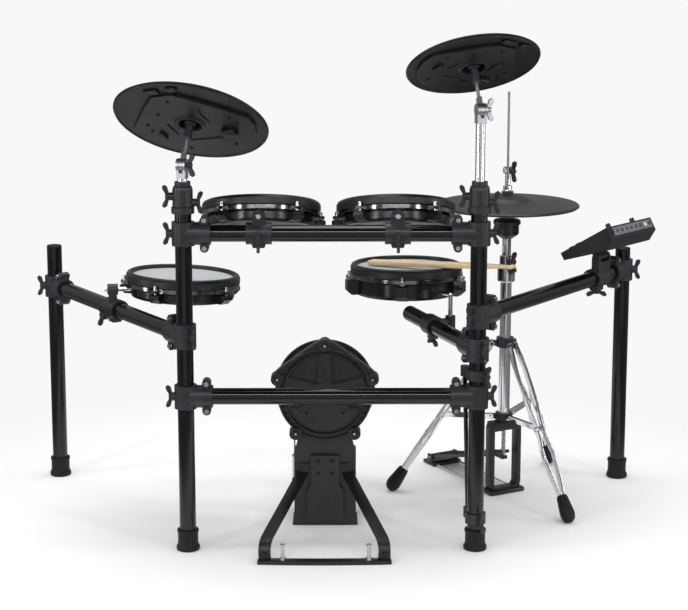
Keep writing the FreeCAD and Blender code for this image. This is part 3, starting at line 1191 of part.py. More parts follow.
front_y = named("stand_front_y")
bar_thick = named("stand_bar_thickness")
front_top = 9.0
stand = []
for index, sign in enumerate((-1, 1)):
    top = Vector(KICK_X + sign * 53, neck_y - 3, named("stand_top_height"))
    bend = Vector(KICK_X + sign * 137, front_y, 50)
    foot = Vector(bend.x, front_y, front_top)
    strip = flat_bar("kick_stand_bar_%d" % index, top, bend, "kit.stand_bar_width",
                     "kit.stand_bar_thickness", (1, 0, 0))
    drop = block("kick_stand_drop_%d" % index, "kit.stand_bar_width - 3", "kit.stand_bar_thickness",
                 bend.z - foot.z + 4,
                 at(foot.x, front_y, foot.z))
    knee_joint = cylinder("kick_stand_knee_%d" % index, "kit.stand_bar_thickness / 2",
                          "kit.stand_bar_width - 3",
                          facing((bend.x - (named("stand_bar_width") - 3) / 2, front_y, bend.z + 1),
                                 (1, 0, 0)))
    ear = block("kick_stand_ear_%d" % index, 46, 6, 46, at(KICK_X + sign * 39, neck_y - 3, top.z - 23))
    keep = block("kick_stand_keep_%d" % index, 300, 60, 400, at(KICK_X + sign * 39, neck_y + 30, 0))
    stand.append(cut("kick_stand_side_%d" % index, fuse("kick_stand_side_solid_%d" % index, [strip, drop,
        knee_joint, ear]),
                     [keep]))
front_bar = block("kick_stand_front", "kit.stand_front_length", "kit.stand_bar_width - 4", front_top,
                  at(KICK_X, front_y, 0))
spur_holes = []
for index, offset in enumerate((-95, 101)):
    x = KICK_X + offset
    spur_holes.append(cylinder("kick_spur_hole_%d" % index, WING_HOLE, 30, at(x, front_y - 4, -5)))
    thread = cylinder("kick_spur_thread_%d" % index, "kit.wing_shank_diameter / 2", 45, at())
    knob = cylinder("kick_spur_head_%d" % index, 6, 4, at(z=42))
    nut = cylinder("kick_spur_nut_%d" % index, 7, 5, at(z=front_top))
    spur = fuse("kick_spur_%d" % index, [thread, knob, nut])
    spur.Placement = at(x, front_y - 4, 0)
    rack_bolts.append(spur)
    rack_bolts.append(cone("kick_stand_bolt_%d" % index, 6, 5, 4,
                           facing((KICK_X + (-137, 137)[index], front_y - bar_thick / 2, 22), (0, -1, 0))))
stand.append(cut("kick_stand_front_bar", front_bar, spur_holes))
node("kick_stand", stand)


# Kick pedal behind the tower

pedal_y = named("pedal_front_y")
axle_y, axle_z = named("axle_y"), named("axle_height")
post_offset = named("pedal_post_offset")
AXLE_R = "kit.axle_diameter / 2"
AXLE_BORE = AXLE_R + " + kit.turn_gap"
sole = named("pedal_sole")
pedal = [block("pedal_base", "kit.pedal_width", "kit.pedal_length", "kit.pedal_sole",
               at(KICK_X, pedal_y + named("pedal_length") / 2, 0))]
spring_x, spring_y = KICK_X - 76.0, axle_y + 24.0
spring_low = 77.0
spring_high = spring_low + named("spring_length")
spring_anchor = [
    block("pedal_spring_bracket", 30, 16, 8, at(spring_x + 6, spring_y, spring_low - 22)),
    block("pedal_spring_rib", 12, 40, 8, at(KICK_X - post_offset, axle_y + 12, spring_low - 22)),
    bar("pedal_spring_post", (spring_x, spring_y, spring_low - 22), (spring_x, spring_y, spring_low - 3), 3),
    bar("pedal_spring_seat", (spring_x, spring_y, spring_low - 4), (spring_x, spring_y, spring_low - 1.2), 7)]
for index, sign in enumerate((-1, 1)):
    x = KICK_X + sign * post_offset
    upright = fuse("pedal_upright_%d" % index, [
        block("pedal_upright_leg_%d" % index, 12, 26, axle_z, at(x, axle_y, 0)),
        cylinder("pedal_upright_eye_%d" % index, 14, 12, facing((x - 6, axle_y, axle_z), (1, 0, 0)))]
        + (spring_anchor if sign < 0 else []))
    pedal.append(cut("pedal_post_%d" % index, upright, [
        cylinder("pedal_post_bore_%d" % index, AXLE_BORE, 40, facing((x - 20, axle_y, axle_z), (1, 0, 0))),
        block("pedal_post_foot_%d" % index, 20, 60, named("pedal_sole"), at(x, axle_y, 0))]))
heel_y, heel_z = pedal_y + named("pedal_length") - 24, 20.0
heel = fuse("pedal_heel_solid", [
    block("pedal_heel_ear_%d" % index, 6, 22, 22, at(KICK_X + sign * 46, heel_y, sole))
    for index, sign in enumerate((-1, 1))]
    + [block("pedal_heel_plate", 98, 30, 4, at(KICK_X, heel_y + 4, sole))])
pin_line = ((KICK_X - 49, heel_y, heel_z), (KICK_X + 49, heel_y, heel_z))
pedal.append(cut("pedal_heel", heel, [bar("pedal_heel_hole", pin_line[0], pin_line[1], 3)]))
pedal.append(bar("pedal_heel_pin", pin_line[0], pin_line[1], 3))
tension_spot = facing((KICK_X + post_offset + 6, axle_y, 46), (1, 0, 0))
tension_bolt = wing_bolt("pedal_wing_bolt", 8, tension_spot * at(angle=90))
pedal.append(tension_bolt)
node("pedal_frame", pedal)

board_start = Vector(KICK_X, heel_y, heel_z)
board_end = Vector(KICK_X, axle_y + 26, 78)
board_along = (board_end - board_start).normalize()
plank = flat_bar("pedal_plank", board_start + board_along * 18, board_end, 84,
                 "kit.footboard_thickness - 2", (1, 0, 0))
barrel = bar("pedal_barrel", (KICK_X - 42, heel_y, heel_z), (KICK_X + 42, heel_y, heel_z), 7)
strap = flat_bar("pedal_plank_strap", board_start, board_start + board_along * 40, 66, 5, (1, 0, 0))
link = block("pedal_link", 16, 3, 104, at(KICK_X, board_end.y - 3, board_end.z - 5))
board_solid = fuse("pedal_board_solid", [plank, barrel, strap, link])
node("pedal_footboard", [cut("pedal_board_body", board_solid, [
    bar("pedal_barrel_bore", (KICK_X - 60, heel_y, heel_z), (KICK_X + 60, heel_y, heel_z), 3.3)])])

AXLE = at(KICK_X, axle_y, axle_z)
swing = AXLE * at(axis=(1, 0, 0), angle=-named("beater_angle"))
axle = cylinder("pedal_axle", AXLE_R, 2 * post_offset + 42,
                AXLE * facing((-post_offset - 28, 0, 0), (1, 0, 0)))
hub = cylinder("pedal_hub", 13, 34, AXLE * facing((-17, 0, 0), (1, 0, 0)))
cam = cylinder("pedal_cam", 21, 14, AXLE * facing((-7, 0, 0), (1, 0, 0)))
shaft = cylinder("pedal_beater_shaft", 3.5, named("beater_length") + 26, swing * at(z=-26))
lever = block("pedal_spring_lever", 10, 34, 10, at(spring_x, axle_y + 12, axle_z - 5))
felt_block = cylinder("pedal_beater_felt", "kit.beater_radius", 36,
                      swing * facing((0, -18, named("beater_length")), (0, 1, 0)))
felt_bore = cylinder("pedal_beater_bore", 3.5, 60, swing * at(z=named("beater_length") - 30))
node("pedal_beater", [fuse("pedal_axle_body", [axle, hub, cam, shaft, lever]),
                      cut("pedal_beater_head", felt_block, [felt_bore])])


def tangent_arcs(start, start_way, end, end_way):
    """Two arcs that leave one point and reach another along given directions without a kink."""
    gap = end - start
    ways = start_way + end_way
    a = 2 * (1 - start_way.dot(end_way))
    b = 2 * gap.dot(ways)
    c = -gap.dot(gap)
    reach = (-b + math.sqrt(b * b - 4 * a * c)) / (2 * a)
    corners = (start + start_way * reach, end - end_way * reach)
    middle = (corners[0] + corners[1]) * 0.5
    arcs = []
    for first, corner, last in ((start, corners[0], middle), (middle, corners[1], end)):
        chord = (first + last) * 0.5
        half = math.acos((last - first).Length / 2 / (corner - first).Length)
        crown = chord + (corner - chord) * (math.tan(half / 2) / math.tan(half))
        arcs.append(Part.Arc(first, crown, last).toShape())
    return arcs


def coil_spring(coils, diameter, wire, length):
    """An unbroken coil of half-turn arc pairs with a straight tail at each end, and its least gap."""
    radius = (diameter - wire) / 2
    pitch = length / coils
    climb = Vector(0, 0, pitch / (2 * math.pi))

    def point(angle):
        return Vector(radius * math.cos(angle), radius * math.sin(angle), pitch * angle / (2 * math.pi))

    def way(angle):
        return (Vector(-radius * math.sin(angle), radius * math.cos(angle), 0) + climb).normalize()

    last = 2 * math.pi * coils
    edges = [Part.LineSegment(point(0) - way(0) * wire, point(0)).toShape()]
    for index in range(2 * coils):
        low, high = math.pi * index, math.pi * (index + 1)
        edges.extend(tangent_arcs(point(low), way(low), point(high), way(high)))
    edges.append(Part.LineSegment(point(last), point(last) + way(last) * wire).toShape())
    path = Part.Wire(edges)
    ring = Part.Wire([Part.Circle(point(0) - way(0) * wire, way(0), wire / 2).toShape()])
    samples = path.discretize(60 * coils)
    apart = [one.distanceToPoint(other) for place, one in enumerate(samples)
             for other in samples[place + 30:]]
    return path.makePipeShell([ring], True, False), min(apart) - wire


coil, coil_gap = coil_spring(int(named("spring_coils")), named("spring_diameter"), named("spring_wire"),
                             named("spring_length"))
print("pedal spring: least gap between its coils %.2f mm" % coil_gap)
spring = doc.addObject("Part::Feature", "pedal_coil")
spring.Shape = coil
spring.Placement = at(spring_x, spring_y, spring_low)
hook = fuse("pedal_spring_hook", [
    bar("pedal_hook_disc", (spring_x, spring_y, spring_high + 1.1), (spring_x, spring_y, spring_high + 3), 7),
    bar("pedal_hook_rod", (spring_x, spring_y, spring_high + 1.1), (spring_x, spring_y, axle_z - 5.2), 2)])
node("pedal_spring", [spring, hook])


# Sound module, built with its top face level and its jack side along +X

MODULE = (at(named("module_x"), named("module_y"), named("module_z"), (0, 0, 1), named("module_turn") - 90)
          * at(axis=(0, 1, 0), angle=-named("module_tilt")))
half_deep, half_wide = "kit.module_depth / 2", "kit.module_width / 2"
wall, lid = "kit.module_wall", "kit.panel_thickness"
sideways = at(0, named("module_width") / 2, 0, (1, 0, 0), 90)
sideways_in = at(0, named("module_width") / 2 - named("module_wall"), 0, (1, 0, 0), 90)
outside = prism("module_outside", [
    ("-" + half_deep, "-" + lid), ("-" + half_deep, "-kit.module_front"),
    (half_deep + " - 30", "-kit.module_rear"),
    (half_deep, "-kit.module_rear + 16"), (half_deep, "-" + lid)], "kit.module_width", sideways)
inside = prism("module_inside", [
    ("-%s + %s" % (half_deep, wall), "1"), ("-%s + %s" % (half_deep, wall),
                                            "-kit.module_front + %s * 0.8" % wall),
    (half_deep + " - 30", "-kit.module_rear + " + wall),
    ("%s - %s" % (half_deep, wall), "-kit.module_rear + 16 + %s * 0.6" % wall),
    ("%s - %s" % (half_deep, wall), "1")], "kit.module_width - 2 * " + wall, sideways_in)
HINGE = Vector(-38, 0, -42)
lug = fuse("module_lug", [
    cylinder("module_lug_round", 9, 40, facing(HINGE - Vector(0, 20, 0), (0, 1, 0))),
    block("module_lug_block", 18, 40, 14, at(HINGE.x, 0, HINGE.z))])
tray_solid = cut("module_tray_shell", fuse("module_tray_solid", [outside, lug]), [inside])
jack_line = [named("module_width") * (index / (named("jack_count") - 1) - 0.5) * 0.84
             for index in range(int(named("jack_count")))]
rear = named("module_depth") / 2
jack_level = -14.0
jack_seats = [cylinder("module_jack_seat_%d" % index, "kit.jack_diameter / 2", 20,
                       facing((rear - 10, y, jack_level), (1, 0, 0)))
              for index, y in enumerate(jack_line)]
tray = cut("module_tray", tray_solid, jack_seats + [
    cylinder("module_lug_hole", 4.3, 60, facing(HINGE - Vector(0, 30, 0), (0, 1, 0)))])
jacks = [cut("module_jack_%d" % index,
             cylinder("module_jack_body_%d" % index, "kit.jack_diameter / 2", 12,
                      facing((rear - 10, y, jack_level), (1, 0, 0))),
             [cylinder("module_jack_bore_%d" % index, 3.1, 3, facing((rear - 1, y, jack_level), (1, 0, 0)))])
         for index, y in enumerate(jack_line)]
board = block("module_board", named("module_depth") - 50, "kit.module_width - 2 * kit.module_wall", 1.6,
              at(12, 0, -22))
panel_block = block("module_panel_block", "kit.module_depth", "kit.module_width", lid,
                    at(z=-named("panel_thickness")))
dial_x, dial_y = 4.0, 62.0
button_grid = [(-52.0, y) for y in (-84, -63, -42, -21, 0, 21)] + [(-30.0, y)
    for y in (-84, -63, -42, -21, 0, 21)]
button_holes = [block("module_button_hole_%d" % index, "kit.button_size + 0.8",
                      "kit.button_size * 0.7 + 0.8", 20,
                      at(x, y, -10)) for index, (x, y) in enumerate(button_grid)]
panel = cut("module_panel", panel_block, button_holes + [
    cylinder("module_dial_hole", 4.3, 20, at(dial_x, dial_y, -10)),
    block("module_display_hole", 44, 86, 20, at(12, -32, -10))])
display = block("module_display", 44, 86, 2, at(12, -32, -3))
knobs = [turned("module_knob_%d" % index, [("0", "0"), ("6.5", "0"), ("6", "11"), ("5", "12"), ("0", "12")],
                at(rear - 14, y, 0)) for index, y in enumerate((-70, 40))]
node("module_case", [tray, board, panel, display] + jacks + knobs, MODULE)
dial = turned("module_dial_knob", [
    ("0", -8), ("4", -8), ("4", "0.4"), ("kit.dial_diameter / 2", "0.4"),
    ("kit.dial_diameter / 2", "kit.dial_height - 2"),
    ("kit.dial_diameter / 2 - 2", "kit.dial_height"), ("0", "kit.dial_height")])
dimple = ball("module_dial_dimple", 9, at(12, 0, named("dial_height") + 6))
node("module_dial", [cut("module_dial_body", dial, [dimple])], MODULE * at(dial_x, dial_y))
buttons = [block("module_button_%d" % index, "kit.button_size", "kit.button_size * 0.7",
                 "kit.button_height + kit.panel_thickness + 2",
                 at(x, y, -named("panel_thickness") - 2)) for index, (x, y) in enumerate(button_grid)]
strip = [block("module_button_strip_%d" % index, 8, 120, 1.5, at(x, -31.5, -named("panel_thickness") - 3))
         for index, x in enumerate((-52, -30))]
bridge = block("module_button_bridge", 24, 8, 1.5, at(-41, -31.5, -named("panel_thickness") - 3))
node("module_buttons", [fuse("module_button_bank", buttons + strip + [bridge])], MODULE)

hinge = MODULE.multVec(HINGE)
module_way = at(hinge.x, hinge.y, hinge.z, (0, 0, 1), named("module_turn"))
arm_spot = Vector(POST_X, 0, named("right_arm_height"))
arm_way = direction(RIGHT_AZIMUTH)
grip = arm_spot + arm_way * (Vector(hinge.x, hinge.y, arm_spot.z) - arm_spot).dot(arm_way)
sleeve = cylinder("module_clamp_sleeve", CLAMP_R + " - 1", "kit.tom_clamp_length",
                  facing(grip - arm_way * (named("tom_clamp_length") / 2), arm_way))
riser_height = hinge.z - grip.z
riser = block("module_clamp_riser", 53, 22, riser_height, module_way * at(z=-riser_height))
eye = cylinder("module_clamp_eye", 10, 53, module_way * facing((-26.5, 0, 0), (1, 0, 0)))
lower = block("module_clamp_ear", 30, 22, "kit.ear_rise",
              at(grip.x, grip.y, grip.z - named("ear_rise"), (0, 0, 1), RIGHT_AZIMUTH))
slot = block("module_clamp_slot", 40.8, 80, 80, module_way * at(z=-11))
clamp_tools = [
    slot,
    cylinder("module_clamp_bore", SEAT, 120, facing(grip - arm_way * 60, arm_way)),
    cylinder("module_clamp_pin_hole", 4.0, 80, module_way * facing((-40, 0, 0), (1, 0, 0))),
    cylinder("module_clamp_bolt_hole", WING_HOLE, 60, facing(grip - Vector(0, 0, TUBE_RADIUS), (0, 0, -1)))]
module_clamp = cut("module_clamp", fuse("module_clamp_solid", [sleeve, riser, eye, lower]), clamp_tools)
module_pin = cylinder("module_clamp_pin", 4, 53, module_way * facing((-26.5, 0, 0), (1, 0, 0)))
module_bolt = wing_bolt("module_clamp_bolt", "kit.ear_rise - kit.tube_diameter / 2",
                        at(grip.x, grip.y, grip.z - TUBE_RADIUS - 0.5, (1, 0, 0), 180))
node("right_wing_clamps", right_clamps + [module_clamp, module_pin, module_bolt])

node("rack_clamps", rack_clamps)
node("rack_bolts", rack_bolts)


# Centre the kit over the origin, check every shape and write the files

doc.recompute()
bounds = FreeCAD.BoundBox()
for group in NODES:
    bounds.add(group.Shape.optimalBoundingBox(False, False))
shift = Vector(-bounds.Center.x, -bounds.Center.y, 0)
for group in NODES:
    place = group.Placement
    group.Placement = Placement(place.Base + shift, place.Rotation)
doc.recompute()
for piece in doc.Objects:
    if "Invalid" in piece.State or "Error" in piece.State:
        raise RuntimeError("%s did not build" % piece.Name)
os.makedirs("parts", exist_ok=True)
for group in NODES:
    shape = group.Shape
    if shape.isNull() or not shape.isValid():
        raise RuntimeError("%s is not a valid shape" % group.Label)
    shape.exportStep("parts/%s.step" % group.Label)
    print("%s: %d solids" % (group.Label, len(shape.Solids)))
print("size %.1f x %.1f x %.1f mm, shift %.3f %.3f, lowest %.3f" % (
    bounds.XLength, bounds.YLength, bounds.ZLength, shift.x, shift.y, bounds.ZMin))
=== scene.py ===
# %% [markdown]
# # Electronic drum kit
# This lesson loads that frame, puts the camera where the photograph was taken, gives each piece the finish
# of its real material, and adds the cloth and the small parts that a solid can't show well.

# %% Load the frame
import math
import bpy
from mathutils import Matrix, Vector


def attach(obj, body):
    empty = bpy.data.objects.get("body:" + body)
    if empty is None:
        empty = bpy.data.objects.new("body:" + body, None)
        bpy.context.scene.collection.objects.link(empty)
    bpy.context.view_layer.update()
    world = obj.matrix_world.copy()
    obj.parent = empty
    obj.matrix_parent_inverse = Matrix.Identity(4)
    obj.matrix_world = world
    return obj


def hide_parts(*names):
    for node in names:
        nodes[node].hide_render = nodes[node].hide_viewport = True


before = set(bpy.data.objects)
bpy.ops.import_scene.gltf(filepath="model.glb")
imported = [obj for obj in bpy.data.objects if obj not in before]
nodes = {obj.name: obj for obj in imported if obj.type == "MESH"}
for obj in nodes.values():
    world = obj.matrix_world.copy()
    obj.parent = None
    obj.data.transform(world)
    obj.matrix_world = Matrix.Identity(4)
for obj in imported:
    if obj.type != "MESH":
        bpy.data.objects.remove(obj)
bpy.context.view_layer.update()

# %% [markdown]
# The solids were drawn in the rack's own frame, in millimetres, with the front posts on the line Y = 0, and
# were then moved so that the box's bottom centre is the origin. One helper turns a rack point into a scene
# point.

# %% Rack millimetres to scene metres
MM = 0.001
BOX_SHIFT = Vector((-25.377, -307.856, 0))


def rack(x, y, z):
    return (Vector((x, y, z)) + BOX_SHIFT) * MM


def turned(degrees, axis):
    return Matrix.Rotation(math.radians(degrees), 4, axis)


def moved(x=0, y=0, z=0):
    return Matrix.Translation(Vector((x, y, z)) * MM)


# %% [markdown]
# Some pieces are easier to draw in their own frame. These matrices carry each of those frames to its place.

# %% Frames of the pads, the kick and the module
TO_BOX = moved(*BOX_SHIFT)
RIDE = TO_BOX @ moved(-333, 0, 899) @ turned(-15, "Z") @ turned(-34, "X") @ moved(0, 0, 109)
CRASH = TO_BOX @ moved(333, 0, 1022) @ turned(15, "Z") @ turned(-29.5, "X") @ moved(0, 0, 109)
HIHAT_X, HIHAT_Y = 436, 425
HIHAT = TO_BOX @ moved(HIHAT_X, HIHAT_Y, 0) @ turned(29, "Z")
HIHAT_PAD = HIHAT @ moved(0, 0, 738)
KICK_X, KICK_Y, KICK_Z = -16, 150, 329
KICK = TO_BOX @ moved(KICK_X, KICK_Y, KICK_Z) @ turned(-90, "X")
KICK_DEPTH, KICK_RADIUS, KICK_RODS = 72, 113, 119
MODULE = TO_BOX @ moved(683, 430, 664.5) @ turned(-40.5, "Z") @ turned(-31, "Y")
# A cymbal pad's frame, its radius, and how far its sensor plate is turned.
PADS = {"ride": (RIDE, 178, -13), "crash": (CRASH, 152.5, 28)}
# A drum's place on the rack, and its roll and pitch in degrees.
DRUMS = {
    "left_tom": (moved(-163, 158, 790), 0, 17.5), "right_tom": (moved(150, 158, 790), 0, 17.5),
    "floor_tom": (moved(-361, 314, 594), 3, 2.5), "snare": (moved(185, 400, 601), 0, 2.5),
}
print("ride pad at", [round(c, 3) for c in RIDE.translation])

# %% [markdown]
# ## Camera
# The photograph was taken from in front of the rack, a little above the cymbals, with a long lens that
# keeps the posts upright. A small downward shift does part of that, and the rest is a pitch of ten degrees.

# %% Camera at the photograph's place
FRAME_WIDE = 688
FOCAL_PIXELS = 1802.2
PITCH, YAW = 10.40, -0.223
camera_data = bpy.data.cameras.new("kit_camera")
camera_data.lens = camera_data.sensor_width * FOCAL_PIXELS / FRAME_WIDE
camera_data.shift_y = -0.08
camera_data.clip_end = 200
camera = bpy.data.objects.new("kit_camera", camera_data)
camera.location = rack(13.2, -3995.3, 1439.2)
camera.rotation_euler = (math.radians(90 - PITCH), 0, math.radians(YAW))
bpy.context.scene.collection.objects.link(camera)
bpy.context.scene.camera = camera
print("lens", round(camera_data.lens, 1), "mm")

# %% [markdown]
# ## Finishes
# Each finish is named for its material and for how its surface was made. Colours are written as sRGB hex
# values, and one function turns them into the linear numbers that shaders use. One small function adds a
# node, and two more add what most finishes need: a ramp between two colours, and a change from one range to
# another.

# %% Colour and node helpers


def linear(code):
    channels = [int(code[start:start + 2], 16) / 255 for start in (1, 3, 5)]
    return [c / 12.92 if c <= 0.04045 else ((c + 0.055) / 1.055) ** 2.4 for c in channels] + [1]


def add(tree, kind, settings=None, links=None):
    made = tree.nodes.new(kind)
    for name, setting in (settings or {}).items():
        if isinstance(name, int) or name in made.inputs:
            made.inputs[name].default_value = setting
        else:
            setattr(made, name, setting)
    for name, socket in (links or {}).items():
        tree.links.new(socket, made.inputs[name])
    return made


def ramp(tree, factor, dark, light, start=0, stop=1):
    """Runs from a dark to a light colour between two values of a factor."""
    made = add(tree, "ShaderNodeValToRGB", None, {"Fac": factor})
    for element, position, code in zip(made.color_ramp.elements, (start, stop), (dark, light)):
        element.position = position
        element.color = linear(code)
    return made.outputs["Color"]


def remap(tree, value, source, target=(0, 1), smooth=False):
    """Maps one range of a value to another, in a straight line or with soft ends."""
    settings = {"From Min": source[0], "From Max": source[1], "To Min": target[0], "To Max": target[1]}
    if smooth:
        settings["interpolation_type"] = "SMOOTHSTEP"
    return add(tree, "ShaderNodeMapRange", settings, {"Value": value}).outputs["Result"]


def new_finish(name, **sockets):
    finish = bpy.data.materials.new(name)
    finish.use_nodes = True
    shader = finish.node_tree.nodes["Principled BSDF"]
    for socket, setting in sockets.items():
        shader.inputs[socket.replace("_", " ")].default_value = setting
    return finish, finish.node_tree, shader


# %% [markdown]
# The same small recipe makes each: a fine grain of a real size for the bump, a slow drift of colour and
# gloss from handling, and a rounded edge, because no moulded or painted edge is knife sharp and its thin
# highlight draws the shape.

# %% Recipe for a grained black surface
RING_MM = 7
# A wave texture of scale one repeats after this length.
WAVE_LENGTH = math.tau / 20


def grained(name, dark, light, grain_mm, rough, bump, edge_mm=0.8, rings=None, **sockets):
    finish, tree, shader = new_finish(name, **sockets)
    place = add(tree, "ShaderNodeTexCoord").outputs["Object"]
    grain = add(tree, "ShaderNodeTexNoise", {"Scale": 1 / (grain_mm * MM), "Detail": 2}, {"Vector": place})
    drift = add(tree, "ShaderNodeTexNoise", {"Scale": 1 / (60 * MM), "Detail": 5, "Roughness": 0.65},
                {"Vector": place})
    tone = ramp(tree, drift.outputs["Fac"], dark, light, 0.35, 0.68)
    gloss = remap(tree, drift.outputs["Fac"], (0.3, 0.7), rough)
    edge = add(tree, "ShaderNodeBevel", {"samples": 4, "Radius": edge_mm * MM})
    relief = add(tree, "ShaderNodeBump", {"Strength": bump, "Distance": 0.2 * MM},
                 {"Height": grain.outputs["Fac"], "Normal": edge.outputs["Normal"]})
    tree.links.new(tone, shader.inputs["Base Color"])
    tree.links.new(gloss, shader.inputs["Roughness"])
    if rings:
        own_frame = {"vector_type": "TEXTURE", "Location": rings.translation, "Rotation": rings.to_euler()}
        own = add(tree, "ShaderNodeMapping", own_frame, {"Vector": place})
        wave = {"wave_type": "RINGS", "rings_direction": "Z", "Distortion": 0.05,
                "Scale": WAVE_LENGTH / (RING_MM * MM)}
        groove = add(tree, "ShaderNodeTexWave", wave, {"Vector": own.outputs["Vector"]})
        relief = add(tree, "ShaderNodeBump", {"Strength": 0.22, "Distance": 0.5 * MM},
                     {"Height": groove.outputs["Fac"], "Normal": relief.outputs["Normal"]})
    tree.links.new(relief.outputs["Normal"], shader.inputs["Normal"])
    return finish


# Polyester powder coat baked on steel tube: deep black and glossy, with a faint orange peel about 3 mm wide.
powder_coat = grained("powder_coat_baked_black", "#060608", "#0A0A0C", 3.0, (0.11, 0.16), 0.03)
# The same coat on the flat stand and the pedals, with a coarser satin texture.
satin_coat = grained("powder_coat_satin_black", "#0B0B0D", "#111114", 1.2, (0.34, 0.44), 0.25)
# Glass-filled nylon, injection moulded: dark grey with a spark-eroded grain of 0.4 mm, drawn at 1 mm to show.
nylon = grained("nylon_moulded_black", "#191A1E", "#25262B", 1.0, (0.34, 0.44), 0.40, 1.4)
# EPDM rubber, compression moulded: matt and a little grey where it is handled.
rubber = grained("rubber_moulded_black", "#08080A", "#0F0F11", 1.2, (0.46, 0.62), 0.30,
                 Specular_IOR_Level=0.3)
# Cymbal pads: the same rubber with the fine turned grooves of a cymbal, 7 mm apart about each pad's own axis.
ride_rubber = grained("rubber_grooved_ride", "#0A0A0D", "#111114", 1.2, (0.34, 0.44), 0.22, rings=RIDE)
crash_rubber = grained("rubber_grooved_crash", "#0A0A0D", "#111114", 1.2, (0.34, 0.44), 0.22, rings=CRASH)
hihat_rubber = grained("rubber_grooved_hihat", "#0F0F14", "#17171D", 1.2, (0.36, 0.48), 0.22, rings=HIHAT_PAD)
# The pads' undersides: a moulded shell without grooves, darker than the rubber. On the kick the same dark
# finish fills the deep channel as painted shade, where little light falls.
pad_shell_and_painted_shade = grained("abs_pad_underside_and_painted_channel_shade", "#060608", "#0C0C0E", 1.0, (0.34, 0.44), 0.30)
# Softer rim rubber: darker, with a low sheen.
rim_rubber = grained("rim_rubber_moulded", "#0A0B0C", "#101113", 1.0, (0.34, 0.44), 0.18)
# Black-oxide screws: dark metal with an oily gloss.
black_bolts = grained("steel_black_oxide", "#161719", "#242528", 0.8, (0.34, 0.44), 0.15, Metallic=0.5)
# ABS drum shell, moulded in a polished tool: a smooth low gloss.
shell_plastic = grained("abs_polished_black", "#0B0C0D", "#111213", 1.5, (0.18, 0.28), 0.05)
# Textured ABS of the module and the pads' sensor plates: an eroded grain that scatters light evenly.
case_plastic = grained("abs_textured_black", "#0E0E12", "#16161B", 0.9, (0.34, 0.44), 0.35, 1.6)
# The kick tower is moulded in the same plastic with a coarser grain, so it looks a little greyer.
kick_plastic = grained("abs_coarse_black", "#15151A", "#202026", 1.2, (0.34, 0.44), 0.40, 1.6)
# Silicone buttons: warm grey and matt.
button_rubber = grained("silicone_grey", "#3A3B3D", "#47484B", 0.8, (0.5, 0.62), 0.20)
# Pressed wool felt of the washers and the beater: dark grey and fibrous.
felt = grained("wool_felt_pressed", "#1C1C1E", "#2A2A2D", 0.7, (0.85, 0.95), 0.9, Sheen_Weight=0.4)
# Pale grey plastic of the jack panel.
panel_plastic = grained("abs_moulded_grey", "#5E6066", "#6E7077", 0.9, (0.42, 0.52), 0.25)
# Off-white plastic of the small socket and the pointers.
pale_plastic = grained("abs_moulded_white", "#C9CACC", "#D8D9DB", 0.9, (0.38, 0.48), 0.15)
print("grained finishes", len(bpy.data.materials))

# %% [markdown]
# Chrome plate is a mirror over polished steel. Only a slow waviness from the buffing wheel and a few hair
# scratches keep it from looking like a computer's mirror.

# %% Chrome and bare steel


def plated(name, colour, rough, scratch_mm):
    finish, tree, shader = new_finish(name, Metallic=1.0)
    place = add(tree, "ShaderNodeTexCoord").outputs["Object"]
    shader.inputs["Base Color"].default_value = linear(colour)
    wave = add(tree, "ShaderNodeTexNoise", {"Scale": 1 / (14 * MM), "Detail": 2}, {"Vector": place})
    stretched = add(tree, "ShaderNodeMapping", {"Scale": (6, 6, 1)}, {"Vector": place})
    hair = add(tree, "ShaderNodeTexNoise", {"Scale": 1 / (scratch_mm * 6 * MM), "Detail": 4},
               {"Vector": stretched.outputs["Vector"]})
    gloss = remap(tree, hair.outputs["Fac"], (0.4, 0.75), rough)
    edge = add(tree, "ShaderNodeBevel", {"samples": 4, "Radius": 0.5 * MM})
    relief = add(tree, "ShaderNodeBump", {"Strength": 0.06, "Distance": 0.3 * MM},
                 {"Height": wave.outputs["Fac"], "Normal": edge.outputs["Normal"]})
    tree.links.new(gloss, shader.inputs["Roughness"])
    tree.links.new(relief.outputs["Normal"], shader.inputs["Normal"])
    return finish


# Chrome over polished steel: a bright neutral mirror.
chrome = plated("chrome_plate_polished", "#E2E4E7", (0.06, 0.16), 0.8)
# Chrome over die-cast zinc, on the cymbal tilters and clevises: the cast skin below makes it a soft mirror.
cast_chrome = plated("chrome_plate_on_casting", "#BCBEC1", (0.34, 0.44), 0.8)
# The drum hoops: black-nickel chrome, a darker mirror.
hoop_chrome = plated("black_nickel_plate", "#85878B", (0.10, 0.20), 0.8)
# Spring wire, the hi-hat's rod and the dial's ring: bare drawn steel, duller than chrome.
spring_steel = plated("spring_steel_drawn", "#97999C", (0.34, 0.44), 0.6)
# Zinc plate on the screws of the rack and the kick pad: a soft silver.
zinc = plated("zinc_plate_bright", "#BFC1C4", (0.18, 0.28), 0.7)
print("metals", [metal.name for metal in (chrome, cast_chrome, hoop_chrome, spring_steel, zinc)])

# %% [markdown]
# Drumsticks are turned from hickory and lacquered. The grain runs along the stick, so the noise is
# stretched along the direction in which the sticks lie.

